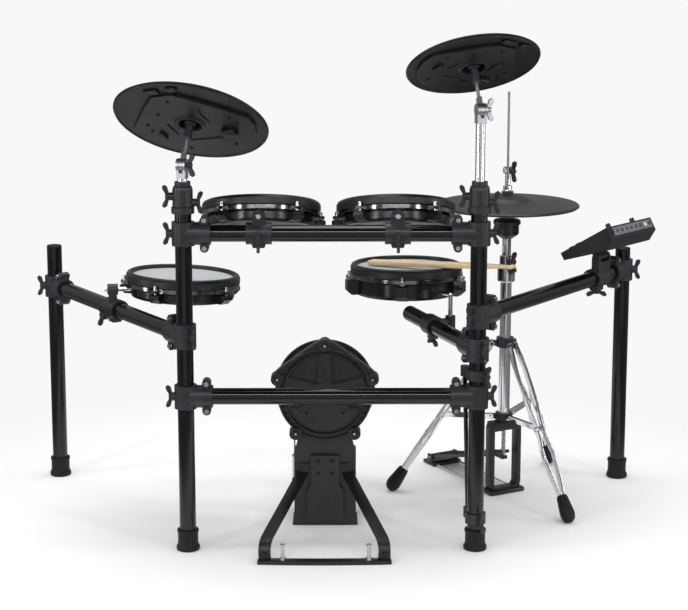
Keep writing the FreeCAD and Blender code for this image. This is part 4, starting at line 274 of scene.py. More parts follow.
# %% Lacquered hickory
STICK_ANGLE = -30
hickory, tree, shader = new_finish("hickory_lacquered", Coat_Weight=0.35, Coat_Roughness=0.2, Roughness=0.42)
place = add(tree, "ShaderNodeTexCoord").outputs["Object"]
lie = {"Rotation": (0, 0, math.radians(-STICK_ANGLE)), "Scale": (0.04, 1, 1)}
along = add(tree, "ShaderNodeMapping", lie, {"Vector": place})
fibre = add(tree, "ShaderNodeTexNoise", {"Scale": 1 / (2.2 * MM), "Detail": 6, "Roughness": 0.6},
            {"Vector": along.outputs["Vector"]})
tone = ramp(tree, fibre.outputs["Fac"], "#D0AE7C", "#EAD6B2", 0.3, 0.7)
relief = add(tree, "ShaderNodeBump", {"Strength": 0.15, "Distance": 0.1 * MM},
             {"Height": fibre.outputs["Fac"]})
tree.links.new(tone, shader.inputs["Base Color"])
tree.links.new(relief.outputs["Normal"], shader.inputs["Normal"])
print("wood", hickory.name)

# %% [markdown]
# A CAD node keeps its mesh, so a node with two materials gets two slots. Its separate solids are found by
# joining faces that share corners, and each face takes the finish of the first test that it or its solid
# passes. The tests get millimetres in the rack's frame: the face's centre, its normal, and the solid's
# lowest and highest corner.

# %% Give a CAD node its finishes


def solid_boxes(shape):
    """Each face's solid, as the lowest and highest corner of that solid in rack millimetres."""
    corner_of = {}
    spots = [tuple(round(c * 1e5) for c in vertex.co) for vertex in shape.vertices]
    corner = [corner_of.setdefault(spot, len(corner_of)) for spot in spots]
    leader = list(range(len(corner_of)))

    def lead(item):
        while leader[item] != item:
            leader[item] = leader[leader[item]]
            item = leader[item]
        return item

    for face in shape.polygons:
        first = lead(corner[face.vertices[0]])
        for index in face.vertices:
            leader[lead(corner[index])] = first
    boxes = {}
    for index, vertex in enumerate(shape.vertices):
        spot = vertex.co / MM - BOX_SHIFT
        low, high = boxes.setdefault(lead(corner[index]), (spot.copy(), spot.copy()))
        for axis in range(3):
            low[axis] = min(low[axis], spot[axis])
            high[axis] = max(high[axis], spot[axis])
    return [boxes[lead(corner[face.vertices[0]])] for face in shape.polygons]


def finish_node(name, base, *patches):
    shape = nodes[name].data
    shape.materials.clear()
    for finish in [base] + [patch[0] for patch in patches]:
        shape.materials.append(finish)
    if not patches:
        return
    for face, (low, high) in zip(shape.polygons, solid_boxes(shape)):
        spot = face.center / MM - BOX_SHIFT
        hits = [slot for slot, patch in enumerate(patches, 1) if patch[1](spot, face.normal, low, high)]
        face.material_index = hits[0] if hits else 0


def screw(spot, normal, low, high):
    """A screw is the only solid on the clamps that is under 12.5 mm thick; wing bolts are thicker."""
    return min(high - low) < 12.5


def casting(spot, normal, low, high):
    """The clevis and its pin on a cymbal pole: all that isn't the long tube."""
    return (high - low).z < 90


def spur_bolt(spot, normal, low, high):
    """The two bolts that stand in the kick stand's front bar."""
    return high.y < -90 and (high - low).z > 40


def kick_screw(spot, normal, low, high):
    """The kick's own screws sit behind its back face or in the stand."""
    return low.y > 140 or (high.y < -90 and high.z < 40)


def wing_sized(spot, normal, low, high):
    """A wing bolt is 52 mm across; its neighbours are shorter or longer."""
    return 48 < max(high - low) < 62


def in_painted_shade_channel(spot, normal, low, high):
    """The deep channel round the kick's dish, where little light falls; its darker finish there is painted
    shade.
    """
    reach = math.hypot(spot.x - KICK_X, spot.z - KICK_Z)
    return KICK_RADIUS - 13.6 < reach < KICK_RADIUS - 3.9 and KICK_Y + 0.5 < spot.y < KICK_Y + 8


def drum_hoop(spot, normal, low, high):
    """The hoop is the only hardware of a drum that goes all round it."""
    return max(high - low) > 200


def rod_wire(spot, normal, low, high):
    """The chain below the tube, and the rod, the only solid that reaches high above the clutch."""
    return spot.z < 161 or high.z > 900


def beater_felt(spot, normal, low, high):
    """The beater leans back from the kick, so its felt starts behind its axle."""
    return low.y > 320


def small_knob(spot, normal, low, high):
    """Jacks and knobs are the module's smallest solids."""
    return max(high - low) < 18


def starts_between(low_z, high_z):
    """The solids whose lowest point lies between two heights."""
    return lambda spot, normal, low, high: low_z < low.z < high_z


def faces_down(place):
    """The faces that look along a pad's own -Z axis."""
    axis = place.to_3x3().col[2].copy()
    return lambda spot, normal, low, high: normal.dot(axis) < -0.3


def on_plate(place):
    """The sensor plate stands below the pad's underside."""
    axis = place.to_3x3().col[2].copy()
    level = place.translation.dot(axis) / MM
    return lambda spot, normal, low, high: (spot + BOX_SHIFT).dot(axis) - level < -0.5


def off_hihat_axis(radius, low_z, high_z):
    """The faces outside a radius round the hi-hat's tube, between two heights."""
    return lambda spot, normal, low, high: (math.hypot(spot.x - HIHAT_X, spot.y - HIHAT_Y) > radius
                                            and low_z < spot.z < high_z)


FINISHES = {
    powder_coat: ["front_posts", "crossbars", "left_wing_tubes", "right_wing_tubes", "snare_arm_tube",
                  "brace_rod"],
    satin_coat: ["kick_stand", "pedal_frame", "pedal_footboard", "hihat_footboard"],
    rubber: ["front_feet", "left_rear_foot", "right_rear_foot"],
    nylon: ["rack_clamps", "hihat_collar"],
    case_plastic: ["kick_head", "hihat_controller", "module_dial"],
    button_rubber: ["module_buttons"],
    spring_steel: ["pedal_spring"],
    hickory: ["drumsticks"],
    chrome: ["hihat_brace_1", "hihat_brace_2", "hihat_brace_3", "hihat_leg_1", "hihat_leg_2", "hihat_leg_3",
             "hihat_base_frame"],
}
for finish, names in FINISHES.items():
    for name in names:
        finish_node(name, finish)
for name in ("left_wing_clamps", "right_wing_clamps", "snare_arm_clamps"):
    finish_node(name, nylon, (zinc, screw))
finish_node("rack_bolts", nylon, (zinc, spur_bolt), (black_bolts, kick_screw), (zinc, screw))
for pad, finish, place in (("ride_pad", ride_rubber, RIDE), ("crash_pad", crash_rubber, CRASH),
                           ("hihat_pad", hihat_rubber, HIHAT_PAD)):
    finish_node(pad, finish, (case_plastic, on_plate(place)), (pad_shell_and_painted_shade, faces_down(place)))
for drum in DRUMS:
    finish_node(drum + "_shell", shell_plastic)
    finish_node(drum + "_rim", rim_rubber)
    finish_node(drum + "_head", panel_plastic)
    finish_node(drum + "_hardware", chrome, (hoop_chrome, drum_hoop))
finish_node("hihat_tubes", chrome, (nylon, wing_sized))
# The kick's channel takes the darker underside finish as painted shade, not as a plastic of its own.
finish_node("kick_tower", kick_plastic, (pad_shell_and_painted_shade, in_painted_shade_channel))
finish_node("hihat_pull_rod", chrome, (nylon, wing_sized), (felt, off_hihat_axis(12.5, 768.5, 777.5)),
            (spring_steel, rod_wire))
finish_node("ride_pole", chrome, (nylon, wing_sized), (cast_chrome, casting))
finish_node("crash_pole", chrome, (cast_chrome, casting))
# On each tilter the nylon sleeve lies below the pad, and the felt with its nut above it.
for tilter, sleeve, washer in (("ride_tilter", 940, 1000), ("crash_tilter", 1065, 1125)):
    finish_node(tilter, cast_chrome, (nylon, starts_between(sleeve, washer)),
                (felt, starts_between(washer, math.inf)))
finish_node("pedal_beater", chrome, (felt, beater_felt))
finish_node("module_case", case_plastic, (nylon, small_knob))
print("finished nodes; left", sorted(name for name, thing in nodes.items() if not thing.data.materials))

# %% [markdown]
# ## Mesh heads
# The real heads are two-ply polyester mesh pulled tight over a hoop. Each is a round sheet, flat in the
# middle, that turns down where the rim presses it. A filled circle is inset four times, its outer rings are
# lowered, and a thin Solidify gives the cloth its thickness. Its UV map holds real lengths, so the weave
# follows the cloth.

# %% Woven mesh finish
# Polyester monofilament, plain weave: real threads are 0.5 mm apart, drawn at 2.4 mm so that they show.
THREAD_MM = 2.4
mesh_cloth, tree, shader = new_finish("polyester_mesh_woven", Roughness=0.55, Sheen_Weight=0.15)
cloth_map = add(tree, "ShaderNodeUVMap", {"uv_map": "cloth"}).outputs["UV"]
threads = []
for direction in ("X", "Y"):
    wave = {"bands_direction": direction, "Scale": WAVE_LENGTH / (THREAD_MM * MM)}
    thread = add(tree, "ShaderNodeTexWave", wave, {"Vector": cloth_map})
    threads.append(thread.outputs["Fac"])
weave = add(tree, "ShaderNodeMath", {"operation": "MAXIMUM"}, {0: threads[0], 1: threads[1]})
mottle = add(tree, "ShaderNodeTexNoise", {"Scale": 1 / (35 * MM), "Detail": 3}, {"Vector": cloth_map})
tone = ramp(tree, weave.outputs["Value"], "#9A9CA1", "#CFD1D5", 0.25, 0.9)
worn = add(tree, "ShaderNodeMix", {"data_type": "RGBA", "blend_type": "MULTIPLY", "Factor": 0.18},
           {"A": tone, "B": mottle.outputs["Color"]})
relief = add(tree, "ShaderNodeBump", {"Strength": 0.5, "Distance": 0.3 * MM},
             {"Height": weave.outputs["Value"]})
tree.links.new(worn.outputs["Result"], shader.inputs["Base Color"])
tree.links.new(relief.outputs["Normal"], shader.inputs["Normal"])
print("cloth", mesh_cloth.name)

# %% [markdown]
# A few small helpers serve all the modelling that follows. They draw a mesh from its points, open all of it
# for editing, round its edges, move it to its place and give it a finish.

# %% Modelling helpers
HERE = Matrix.Identity(4)


def select_none():
    bpy.ops.object.select_all(action="DESELECT")


def drawn(name, corners, edges=(), faces=()):
    shape = bpy.data.meshes.new(name)
    shape.from_pydata(corners, edges, faces)
    piece = bpy.data.objects.new(name, shape)
    bpy.context.scene.collection.objects.link(piece)
    return piece


def edit_all(piece):
    select_none()
    bpy.context.view_layer.objects.active = piece
    piece.select_set(True)
    bpy.ops.object.mode_set(mode="EDIT")
    bpy.ops.mesh.select_all(action="SELECT")


def softened(piece, width_mm):
    """Rounds the sharp edges of the active piece."""
    soften = piece.modifiers.new("soften", "BEVEL")
    soften.width = width_mm * MM
    soften.segments = 2
    soften.limit_method = "ANGLE"
    bpy.ops.object.modifier_apply(modifier="soften")
    return piece


def set_at(piece, place):
    """Moves a piece's mesh to its place and leaves its object at the origin."""
    piece.data.transform(place @ piece.matrix_world)
    piece.matrix_world = HERE
    return piece


def settle(piece, place, finish):
    piece.data.materials.clear()
    piece.data.materials.append(finish)
    return set_at(piece, place)


# %% Stretch a head over each drum
HEAD_RADIUS, HEAD_BELOW_RIM = 124.6, 9.2
# The cloth's thickness, the width of its turned edge, and how steeply that edge curves down.
CLOTH_MM, TURN_MM, TURN_CURVE = 0.5, 2.6, 0.22


def stretched_head(name, radius_mm, place):
    select_none()
    bpy.ops.mesh.primitive_circle_add(vertices=96, radius=radius_mm * MM, fill_type="NGON")
    piece = bpy.context.object
    piece.name = name
    bpy.ops.object.mode_set(mode="EDIT")
    for inset in (1.2, 1.2, 30, 40):
        bpy.ops.mesh.inset(thickness=inset * MM, depth=0)
    bpy.ops.object.mode_set(mode="OBJECT")
    for vertex in piece.data.vertices:
        reach = vertex.co.xy.length / MM
        vertex.co.z = -max(0, reach - (radius_mm - TURN_MM)) ** 2 * TURN_CURVE * MM
    layer = piece.data.uv_layers.new(name="cloth")
    for corner in piece.data.loops:
        layer.data[corner.index].uv = piece.data.vertices[corner.vertex_index].co.xy
    thin = piece.modifiers.new("thickness", "SOLIDIFY")
    thin.thickness = CLOTH_MM * MM
    thin.offset = -1
    bpy.ops.object.modifier_apply(modifier="thickness")
    bpy.ops.object.shade_smooth_by_angle(angle=math.radians(40))
    return settle(piece, place, mesh_cloth)


for drum, (spot, roll, pitch) in DRUMS.items():
    place = TO_BOX @ spot @ turned(-pitch, "X") @ turned(roll, "Y") @ moved(0, 0, -HEAD_BELOW_RIM)
    head = stretched_head(drum + "_mesh", HEAD_RADIUS, place)
    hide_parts(drum + "_head")
    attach(head, drum)

# %% [markdown]
# The kick's head faces the drummer. It is the same cloth on a smaller hoop, and the hoop is a rolled ring
# with a rounded lip, made by spinning its section round the kick's axis.

# %% Kick hoop and head


def spun(name, section, place, finish, steps=96):
    """Draws a closed section as (radius, height) points, spins it round Z and settles the ring."""
    corners = [(radius * MM, 0, height * MM) for radius, height in section]
    piece = drawn(name, corners, [(i, (i + 1) % len(section)) for i in range(len(section))])
    edit_all(piece)
    bpy.ops.mesh.spin(steps=steps, angle=math.tau, center=(0, 0, 0), axis=(0, 0, 1))
    bpy.ops.mesh.select_all(action="SELECT")
    bpy.ops.mesh.remove_doubles(threshold=0.02 * MM)
    bpy.ops.mesh.normals_make_consistent(inside=False)
    bpy.ops.object.mode_set(mode="OBJECT")
    bpy.ops.object.shade_smooth_by_angle(angle=math.radians(40))
    return settle(piece, place, finish)


# The hoop's section, measured from the drum's radius and from the lip.
HOOP = [(-4, -5), (0.4, -5), (0.4, -13), (6, -13), (7, -12), (7, -3), (5, -0.6), (2, 0), (-2, -0.6), (-4, -3)]
lip = KICK_DEPTH - 2
section = [(KICK_RADIUS + out, lip + rise) for out, rise in HOOP]
kick_hoop = spun("kick_hoop_ring", section, KICK, satin_coat)
kick_skin = stretched_head("kick_mesh", KICK_RADIUS - 0.5, KICK @ moved(0, 0, KICK_DEPTH - 7))
for piece, slot_name in ((kick_hoop, "black_powder_coat"), (kick_skin, "mesh_head")):
    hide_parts("kick_head")
    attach(piece, "rack")

# %% [markdown]
# ## Small moulded parts
# A screw head is modelled once: a disc whose rim is bevelled, with an inset that is pushed in for the
# driver. Copies go wherever the photograph shows a screw, and each group of copies is joined into one
# piece.

# %% Screw heads


def merged(pieces):
    """Joins pieces into the first one and leaves it active."""
    select_none()
    for piece in pieces:
        piece.select_set(True)
    bpy.context.view_layer.objects.active = pieces[0]
    if len(pieces) > 1:
        bpy.ops.object.join()
    return bpy.context.view_layer.objects.active


def joined(name, pieces, place, finish, body):
    """Joins pieces into one, settles it and lets it ride on a body."""
    whole = merged(pieces)
    whole.name = name
    bpy.ops.object.shade_smooth_by_angle(angle=math.radians(35))
    settle(whole, place, finish)
    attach(whole, body)
    print(name, len(whole.data.polygons), "faces on", body)
    return whole


def screw_head(radius):
    """A pan head along +Z with a recess for the driver, sitting on Z = 0."""
    select_none()
    bpy.ops.mesh.primitive_cylinder_add(vertices=24, radius=radius * MM, depth=radius * 0.7 * MM,
                                        location=(0, 0, radius * 0.35 * MM))
    piece = bpy.context.object
    edit_all(piece)
    bpy.ops.mesh.select_all(action="DESELECT")
    bpy.ops.object.mode_set(mode="OBJECT")
    for face in piece.data.polygons:
        face.select = face.normal.z > 0.9
    bpy.ops.object.mode_set(mode="EDIT")
    bpy.ops.mesh.inset(thickness=radius * 0.45 * MM, depth=0)
    bpy.ops.mesh.extrude_region_move(TRANSFORM_OT_translate={"value": (0, 0, -radius * 0.45 * MM)})
    bpy.ops.object.mode_set(mode="OBJECT")
    return softened(piece, radius * 0.12)


def twin_of(piece, place):
    """A copy of a piece with its own mesh, at a place."""
    twin = bpy.data.objects.new(piece.name, piece.data.copy())
    bpy.context.scene.collection.objects.link(twin)
    twin.data.transform(place @ piece.matrix_world)
    return twin


def copies_of(piece, places):
    """Copies of a piece at each place; the piece itself goes."""
    made = [twin_of(piece, place) for place in places]
    bpy.data.objects.remove(piece)
    return made


FACE_DOWN = turned(180, "X")
# Places of the screws below a cymbal pad, as shares of its radius.
PLATE_SPOTS = [(-0.62, 0.10), (0.62, 0.10), (-0.60, -0.06), (0.60, -0.06), (-0.30, -0.30), (0.30, -0.30),
               (0.0, -0.58), (-0.34, 0.62), (0.34, 0.62), (-0.20, 0.06)]
for pad, (place, radius, plate_turn) in PADS.items():
    spots = [turned(plate_turn, "Z") @ moved(x * radius, y * radius, -5) @ FACE_DOWN for x, y in PLATE_SPOTS]
    screws = copies_of(screw_head(3.6), spots)
    joined(pad + "_back_screws", screws, place, black_bolts, pad + "_pad")
screws = copies_of(screw_head(3.8), [moved(x, 46, 0.6) @ FACE_DOWN for x in (-43, 43)])
joined("kick_plate_pad_screws", screws, KICK, black_bolts, "rack")

# %% [markdown]
# The back of the kick is ribbed like a casting: forty thin ribs stand in the channel round the dish, and
# two low pads carry the screws of the lower plate.

# %% Ribs and pads of the kick back
RIBS = 40


def slab(size, corner_mm, spot=(0, 0, 0)):
    """A block with rounded edges, modelled from a cube that is scaled and bevelled."""
    select_none()
    bpy.ops.mesh.primitive_cube_add(size=1, location=Vector(spot) * MM)
    piece = bpy.context.object
    edit_all(piece)
    bpy.ops.transform.resize(value=Vector(size) * MM)
    bpy.ops.mesh.bevel(offset=corner_mm * MM, segments=3, affect="EDGES")
    bpy.ops.object.mode_set(mode="OBJECT")
    return piece


rib = slab((8.6, 1.6, 5.4), 0.4, (KICK_RADIUS - 8.8, 0, 3.6))
ribs = copies_of(rib, [turned(360 * step / RIBS, "Z") for step in range(RIBS)])
joined("kick_back_ribs", ribs, KICK, kick_plastic, "rack")
pads = [slab((36, 17, 2.4), 1.0, (side * 46, 46, 1.8)) for side in (-1, 1)]
joined("kick_plate_pads", pads, KICK, kick_plastic, "rack")

# %% [markdown]
# Five round lugs stand out round the kick's ring, one about each tension rod. A lug is a turned boss with a
# groove round the screw, spun once and copied. Curved webs let the upper lugs run out into the ring.

# %% Kick lugs
LUG_SECTION = [(6.4, 5), (6.4, -1.0), (8.4, -1.6), (9.0, -0.4), (11.4, -0.4), (12.0, -1.6), (14.2, -1.6),
               (15.2, -0.6), (15.2, 30), (9, 34)]
lug = spun("kick_lug", LUG_SECTION, HERE, kick_plastic, 32)
lug_spots = [turned(72 * step - 90, "Z") @ moved(KICK_RODS, 0, 0) for step in range(5)]
joined("kick_lugs", copies_of(lug, lug_spots), KICK, kick_plastic, "rack")
# Webs let the three upper lugs run out into the ring: two at the top lug, one above each side lug.
# A web runs this far round the ring from its lug, and this far round the lug from the ring's radius.
REACH, HOLD = math.radians(30), math.radians(50)
WEB_INNER, WEB_CROWN, WEB_BACK, WEB_DEPTH, LUG_RADIUS = 109, (118, 35), 5, 24, 15


def lug_web(side):
    """Draws one web flat beside a lug at the origin, on the left or right, and thickens it."""

    def spot(radius, angle, centre=0):
        return Vector((centre + radius * math.cos(angle), side * radius * math.sin(angle), WEB_BACK))

    foot, tip = spot(KICK_RADIUS, REACH), spot(LUG_RADIUS, HOLD, KICK_RODS)
    crown = Vector((WEB_CROWN[0], side * WEB_CROWN[1], WEB_BACK))
    outline = [spot(WEB_INNER, REACH * step / 6) for step in range(7)]
    outline += [foot.lerp(crown, t / 8).lerp(crown.lerp(tip, t / 8), t / 8) for t in range(9)]
    corners = [(corner - Vector((KICK_RODS, 0, 0))) * MM for corner in outline]
    web = drawn("kick_web", corners, faces=[range(len(outline))])
    edit_all(web)
    bpy.ops.mesh.extrude_region_move(TRANSFORM_OT_translate={"value": (0, 0, WEB_DEPTH * MM)})
    bpy.ops.mesh.select_all(action="SELECT")
    bpy.ops.mesh.normals_make_consistent(inside=False)
    bpy.ops.object.mode_set(mode="OBJECT")
    return web


webs = copies_of(lug_web(1), [lug_spots[0], lug_spots[4]])
webs += copies_of(lug_web(-1), [lug_spots[0], lug_spots[1]])
joined("kick_lug_webs", webs, KICK, kick_plastic, "rack")
tips = copies_of(screw_head(3.2), [spot @ moved(0, 0, -1.6) @ FACE_DOWN for spot in lug_spots])
joined("kick_lug_screws", tips, KICK, zinc, "rack")

# %% [markdown]
# ## Undersides of the cymbal pads
# The photograph looks up at both pads, so their undersides are modelled as they are moulded: a bead along
# the rim, a collar round the hole, stiffening ribs on the sensor plate, two small brackets, a jack housing
# and a cable clip.

# %% Rim bead, collar, ribs and housings
# The bead's section, measured in from the pad's edge, and the collar's, measured from the pad's axis.
BEAD = [(8, 0.4), (7, -1.4), (4.5, -2.0), (2.4, -1.4), (1.6, 0.4)]
COLLAR = [(26.4, -4.6), (26.4, -8.2), (28, -9.4), (32, -9.4), (35, -7.8), (37, -4.6)]


def underside(pad, place, radius, plate_turn):
    bead = spun(pad + "_bead", [(radius - inset, rise) for inset, rise in BEAD], HERE, pad_shell_and_painted_shade)
    collar = spun(pad + "_collar", COLLAR, HERE, pad_shell_and_painted_shade, 48)
    housings = [slab((34, 17, 5), 1.4, (-0.10 * radius, -0.82 * radius, -1.8)),
                slab((25, 15, 6), 1.4, (0.20 * radius, -0.84 * radius, -2.2)),
                slab((32, 24, 12), 2.4, (0.44 * radius, 0.26 * radius, -10)),
                slab((11, 27, 8), 2.0, (-0.52 * radius, 0.22 * radius, -8)),
                slab((0.5 * radius, 4, 3), 1.2, (0, 0.42 * radius, -6)),
                slab((4, 0.26 * radius, 3), 1.2, (-0.32 * radius, 0.10 * radius, -6)),
                slab((4, 0.26 * radius, 3), 1.2, (0.27 * radius, -0.12 * radius, -6))]
    for piece in housings:
        set_at(piece, turned(plate_turn, "Z"))
    joined(pad + "_underside", [bead, collar] + housings, place, pad_shell_and_painted_shade, pad + "_pad")


for pad, (place, radius, plate_turn) in PADS.items():
    underside(pad, place, radius, plate_turn)

# %% [markdown]
# ## Kick stand
# The stand's legs are flat steel bars that are bent in one sweep from the tower to the floor, and the bar
# between them bows a little to the front. Each bar is drawn as a row of cross sections along its path and
# then bevelled.

# %% Bent bars of the stand


def bent_bar(name, path, width, thick, across_way=(1, 0, 0)):
    """A flat bar along a path, with its width kept as near to one direction as the path allows."""
    spots = [Vector(spot) * MM for spot in path]
    corners, faces = [], []
    for index, spot in enumerate(spots):
        ahead = (spots[min(index + 1, len(spots) - 1)] - spots[max(index - 1, 0)]).normalized()
        side = Vector(across_way)
        side = (side - ahead * side.dot(ahead)).normalized()
        up = ahead.cross(side)
        for across, rise in ((-1, -1), (1, -1), (1, 1), (-1, 1)):
            corners.append(spot + (side * across * width + up * rise * thick) * MM / 2)
    for ring in range(0, len(corners) - 4, 4):
        faces += [(ring + k, ring + (k + 1) % 4, ring + 4 + (k + 1) % 4, ring + 4 + k) for k in range(4)]
    faces += [(0, 1, 2, 3), tuple(range(len(corners) - 4, len(corners)))]
    piece = drawn(name, corners, faces=faces)
    edit_all(piece)
    bpy.ops.mesh.normals_make_consistent(inside=False)
    bpy.ops.object.mode_set(mode="OBJECT")
    return softened(piece, 1.2)


def bend(start, knee, end, steps=12):
    """Points of one smooth bend that leaves the line start-knee and joins the line knee-end."""
    points = []
    for step in range(steps + 1):
        share = step / steps
        points.append(tuple(a * (1 - share) ** 2 + 2 * b * share * (1 - share) + c * share ** 2
                            for a, b, c in zip(start, knee, end)))
    return points


FRONT_Y, BOW = -95, 5
LEG_TOP, LEG_KNEE, LEG_FOOT_Z = (53, 163, 134), (140, FRONT_Y, 42), 8
FRONT_REACH, FRONT_Z = 152, 4.5
bars = []
for side in (-1, 1):
    top = (KICK_X + side * LEG_TOP[0], LEG_TOP[1], LEG_TOP[2])
    knee = (KICK_X + side * LEG_KNEE[0], LEG_KNEE[1], LEG_KNEE[2])
    above = tuple(b + (a - b) * 0.13 for a, b in zip(top, knee))
    foot = (KICK_X + side * (LEG_KNEE[0] - 5), FRONT_Y, LEG_FOOT_Z)
    bars.append(bent_bar("stand_leg", [top] + bend(above, knee, foot), 28, 5))
    bars.append(slab((46, 6, 46), 2, (KICK_X + side * 39, LEG_TOP[1], LEG_TOP[2])))
front = bend((KICK_X - FRONT_REACH, FRONT_Y, FRONT_Z), (KICK_X, FRONT_Y - 2 * BOW, FRONT_Z),
             (KICK_X + FRONT_REACH, FRONT_Y, FRONT_Z), 24)
bars.append(bent_bar("stand_front", front, 24, 9, (0, 1, 0)))
stand = joined("kick_stand_bars", bars, TO_BOX, satin_coat, "rack")
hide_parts("kick_stand")

# %% [markdown]
# ## Hi-hat stand
# Each tripod leg is a pair of pressed steel straps. They stand apart below the collar, come together at the
# brace, spread again and meet in a rubber boot with flat sides. One leg is modelled in its own frame, with
# X outwards from the tube, and copied to three places round it.

# %% Tripod legs
LEG_TOP_SPOT, LEG_FOOT_SPOT = Vector((34, 0, 390)), Vector((280, 0, 18.5))
LEG_RUN = LEG_FOOT_SPOT - LEG_TOP_SPOT
LEG_LEAN = -math.degrees(math.atan2(LEG_RUN.x, -LEG_RUN.z))
# How far a strap stands from the leg's middle plane, at shares of the leg's length.
SPREAD = [(0.012, 9), (0.05, 9), (0.15, 14.5), (0.36, 14.5), (0.45, 9), (0.55, 9), (0.64, 15.5), (0.78, 11),
          (0.88, 5.5), (0.96, 5)]
EYE = [(3.4, -3.4), (7, -3.4), (7, 3.4), (3.4, 3.4)]
SPOKES = [turned(angle, "Z") for angle in (-90, 30, 150)]
BOOT = [(0.01, -18.4), (9, -16.1), (15, -10.8), (18.4, 0), (18.2, 9), (14.2, 44), (12.4, 50), (9, 52),
        (0.01, 52)]


def rod(radius, length):
    """A round bar along Z from the origin, with its ends broken."""
    section = [(0.01, 0), (radius - 0.5, 0), (radius, 0.5), (radius, length - 0.5), (radius - 0.5, length),
               (0.01, length)]
    return spun("rod", section, HERE, chrome, 20)


straps = []
for side in (-1, 1):
    path = [LEG_TOP_SPOT + LEG_RUN * share + Vector((0, side * spread, 0)) for share, spread in SPREAD]
    straps.append(bent_bar("strap", path, 15, 4.6, (-LEG_RUN.z, 0, LEG_RUN.x)))
    pin = LEG_TOP_SPOT + Vector((0, side * SPREAD[0][1], 0))
    straps.append(set_at(spun("eye", EYE, HERE, chrome, 24), moved(*pin) @ turned(90, "X")))
    head = moved(*(LEG_TOP_SPOT + LEG_RUN * 0.5)) @ turned(-side * 90, "X") @ moved(0, 0, 11)
    straps.append(set_at(screw_head(6.5), head))
one_pair = merged(straps)
one_boot = set_at(spun("boot", BOOT, HERE, rubber, 8), moved(*LEG_FOOT_SPOT) @ turned(LEG_LEAN, "Y"))
for number, spoke in enumerate(SPOKES, 1):
    leg = "hihat_leg_%d" % number
    pair = joined(leg + "_straps", [twin_of(one_pair, spoke)], HIHAT, chrome, leg)
    boot = joined(leg + "_boot", [twin_of(one_boot, spoke)], HIHAT, rubber, leg)
    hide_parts(leg)
    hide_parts(leg)
bpy.data.objects.remove(one_pair)
bpy.data.objects.remove(one_boot)

# %% [markdown]
# Below the tube stands a cast loop with round corners on a flat sole. A ring with three tongues carries the
# braces, and two wires tie the sole to the heel plate behind.

# %% Base of the stand
HEEL_Y, BRACE_Z = 285, 200
RING = [(14.2, 189), (21, 189), (22, 190), (22, 209), (21, 210), (14.2, 210)]
loop = (bend((-30, 0, 183), (-40, 0, 183), (-40, 0, 170), 6) + bend((-40, 0, 30), (-40, 0, 9), (-22, 0, 9), 8)
        + bend((22, 0, 9), (40, 0, 9), (40, 0, 30), 8) + bend((40, 0, 170), (40, 0, 183), (30, 0, 183), 6))
ring = spun("ring", RING, HERE, satin_coat)
castings = [bent_bar("loop", loop, 26, 12, (0, 1, 0)), ring, slab((104, 50, 12), 5, (0, 0, 6.2)),
            slab((84, 32, 24), 4, (0, 0, 177)), slab((88, 54, 10), 3, (0, HEEL_Y + 4, 5))]
castings += [slab((6, 22, 30), 2, (side * 40, HEEL_Y, 15)) for side in (-1, 1)]
castings += copies_of(slab((26, 6, 14), 1.4, (27, 0, BRACE_Z)), SPOKES)
pins = [set_at(rod(3, 86), moved(-43, HEEL_Y, 22) @ turned(90, "Y"))]
pins += [set_at(rod(2.5, 242), moved(side * 34, 22, 6) @ turned(-90, "X")) for side in (-1, 1)]
pins += copies_of(rod(3, 28), [spoke @ moved(34, 14, BRACE_Z) @ turned(90, "X") for spoke in SPOKES])
base = joined("hihat_base_castings", castings, HIHAT, satin_coat, "rack")
base_pins = joined("hihat_base_pins", pins, HIHAT, chrome, "rack")
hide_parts("hihat_base_frame")
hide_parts("hihat_base_frame")

# %% [markdown]
# Both pedals get their grip: raised rubber bars across the footboard, rounded on every edge.

# %% Footboard grips
GRIP_BARS = 9


def grip(name, place, heel, toe, width, lift, body):
    """Bars across a footboard along its frame's Y axis; heel and toe are (Y, Z) on its middle plane."""
    slope = math.degrees(math.atan2(heel[1] - toe[1], heel[0] - toe[0]))
    places = []
    for step in range(GRIP_BARS):
        share = 0.16 + 0.76 * step / (GRIP_BARS - 1)
        spot = [start + (end - start) * share for start, end in zip(heel, toe)]
        places.append(moved(0, *spot) @ turned(slope, "X") @ moved(0, 0, lift))
    joined(name, copies_of(slab((width, 7, 2.4), 0.9), places), place, rubber, body)


grip("hihat_board_grip", HIHAT, (HEEL_Y, 22), (30, 94), 62, 4.9, "hihat_footboard")
grip("pedal_board_grip", TO_BOX @ moved(KICK_X, 0, 0), (522, 20), (298, 78), 68, 3.9, "pedal_footboard")

# %% [markdown]
# ## Sound module
# The jack side carries a grey strip behind the sockets. On top, a pane of dark glass covers the display in
# a thin frame, a metal ring lies round the dial, and each small knob has a pale pointer.

# %% Glass and trim
# Acrylic display glass: smoked and polished, with a faint blue in its depth.
glass, tree, shader = new_finish("acrylic_smoked_polished", Roughness=0.06, Coat_Weight=0.5,
                                 Coat_Roughness=0.03)
place = add(tree, "ShaderNodeTexCoord").outputs["Object"]
depth = add(tree, "ShaderNodeTexNoise", {"Scale": 1 / (40 * MM), "Detail": 2}, {"Vector": place})
tree.links.new(ramp(tree, depth.outputs["Fac"], "#090B10", "#151A24"), shader.inputs["Base Color"])
strip = slab((0.9, 176, 21), 0.4, (76.6, 6, -14.5))
joined("module_jack_strip", [strip], MODULE, panel_plastic, "module")
socket = slab((2.0, 9, 9), 0.6, (77.6, 64, -14.5))
joined("module_usb_socket", [socket], MODULE, pale_plastic, "module")
pane = slab((43.4, 85.4, 1.6), 0.5, (12, -32, -0.4))
joined("module_display_glass", [pane], MODULE, glass, "module")
edges = [slab((50, 3.2, 1.6), 0.6, (12, -32 + side * 44.4, 0.5)) for side in (-1, 1)]
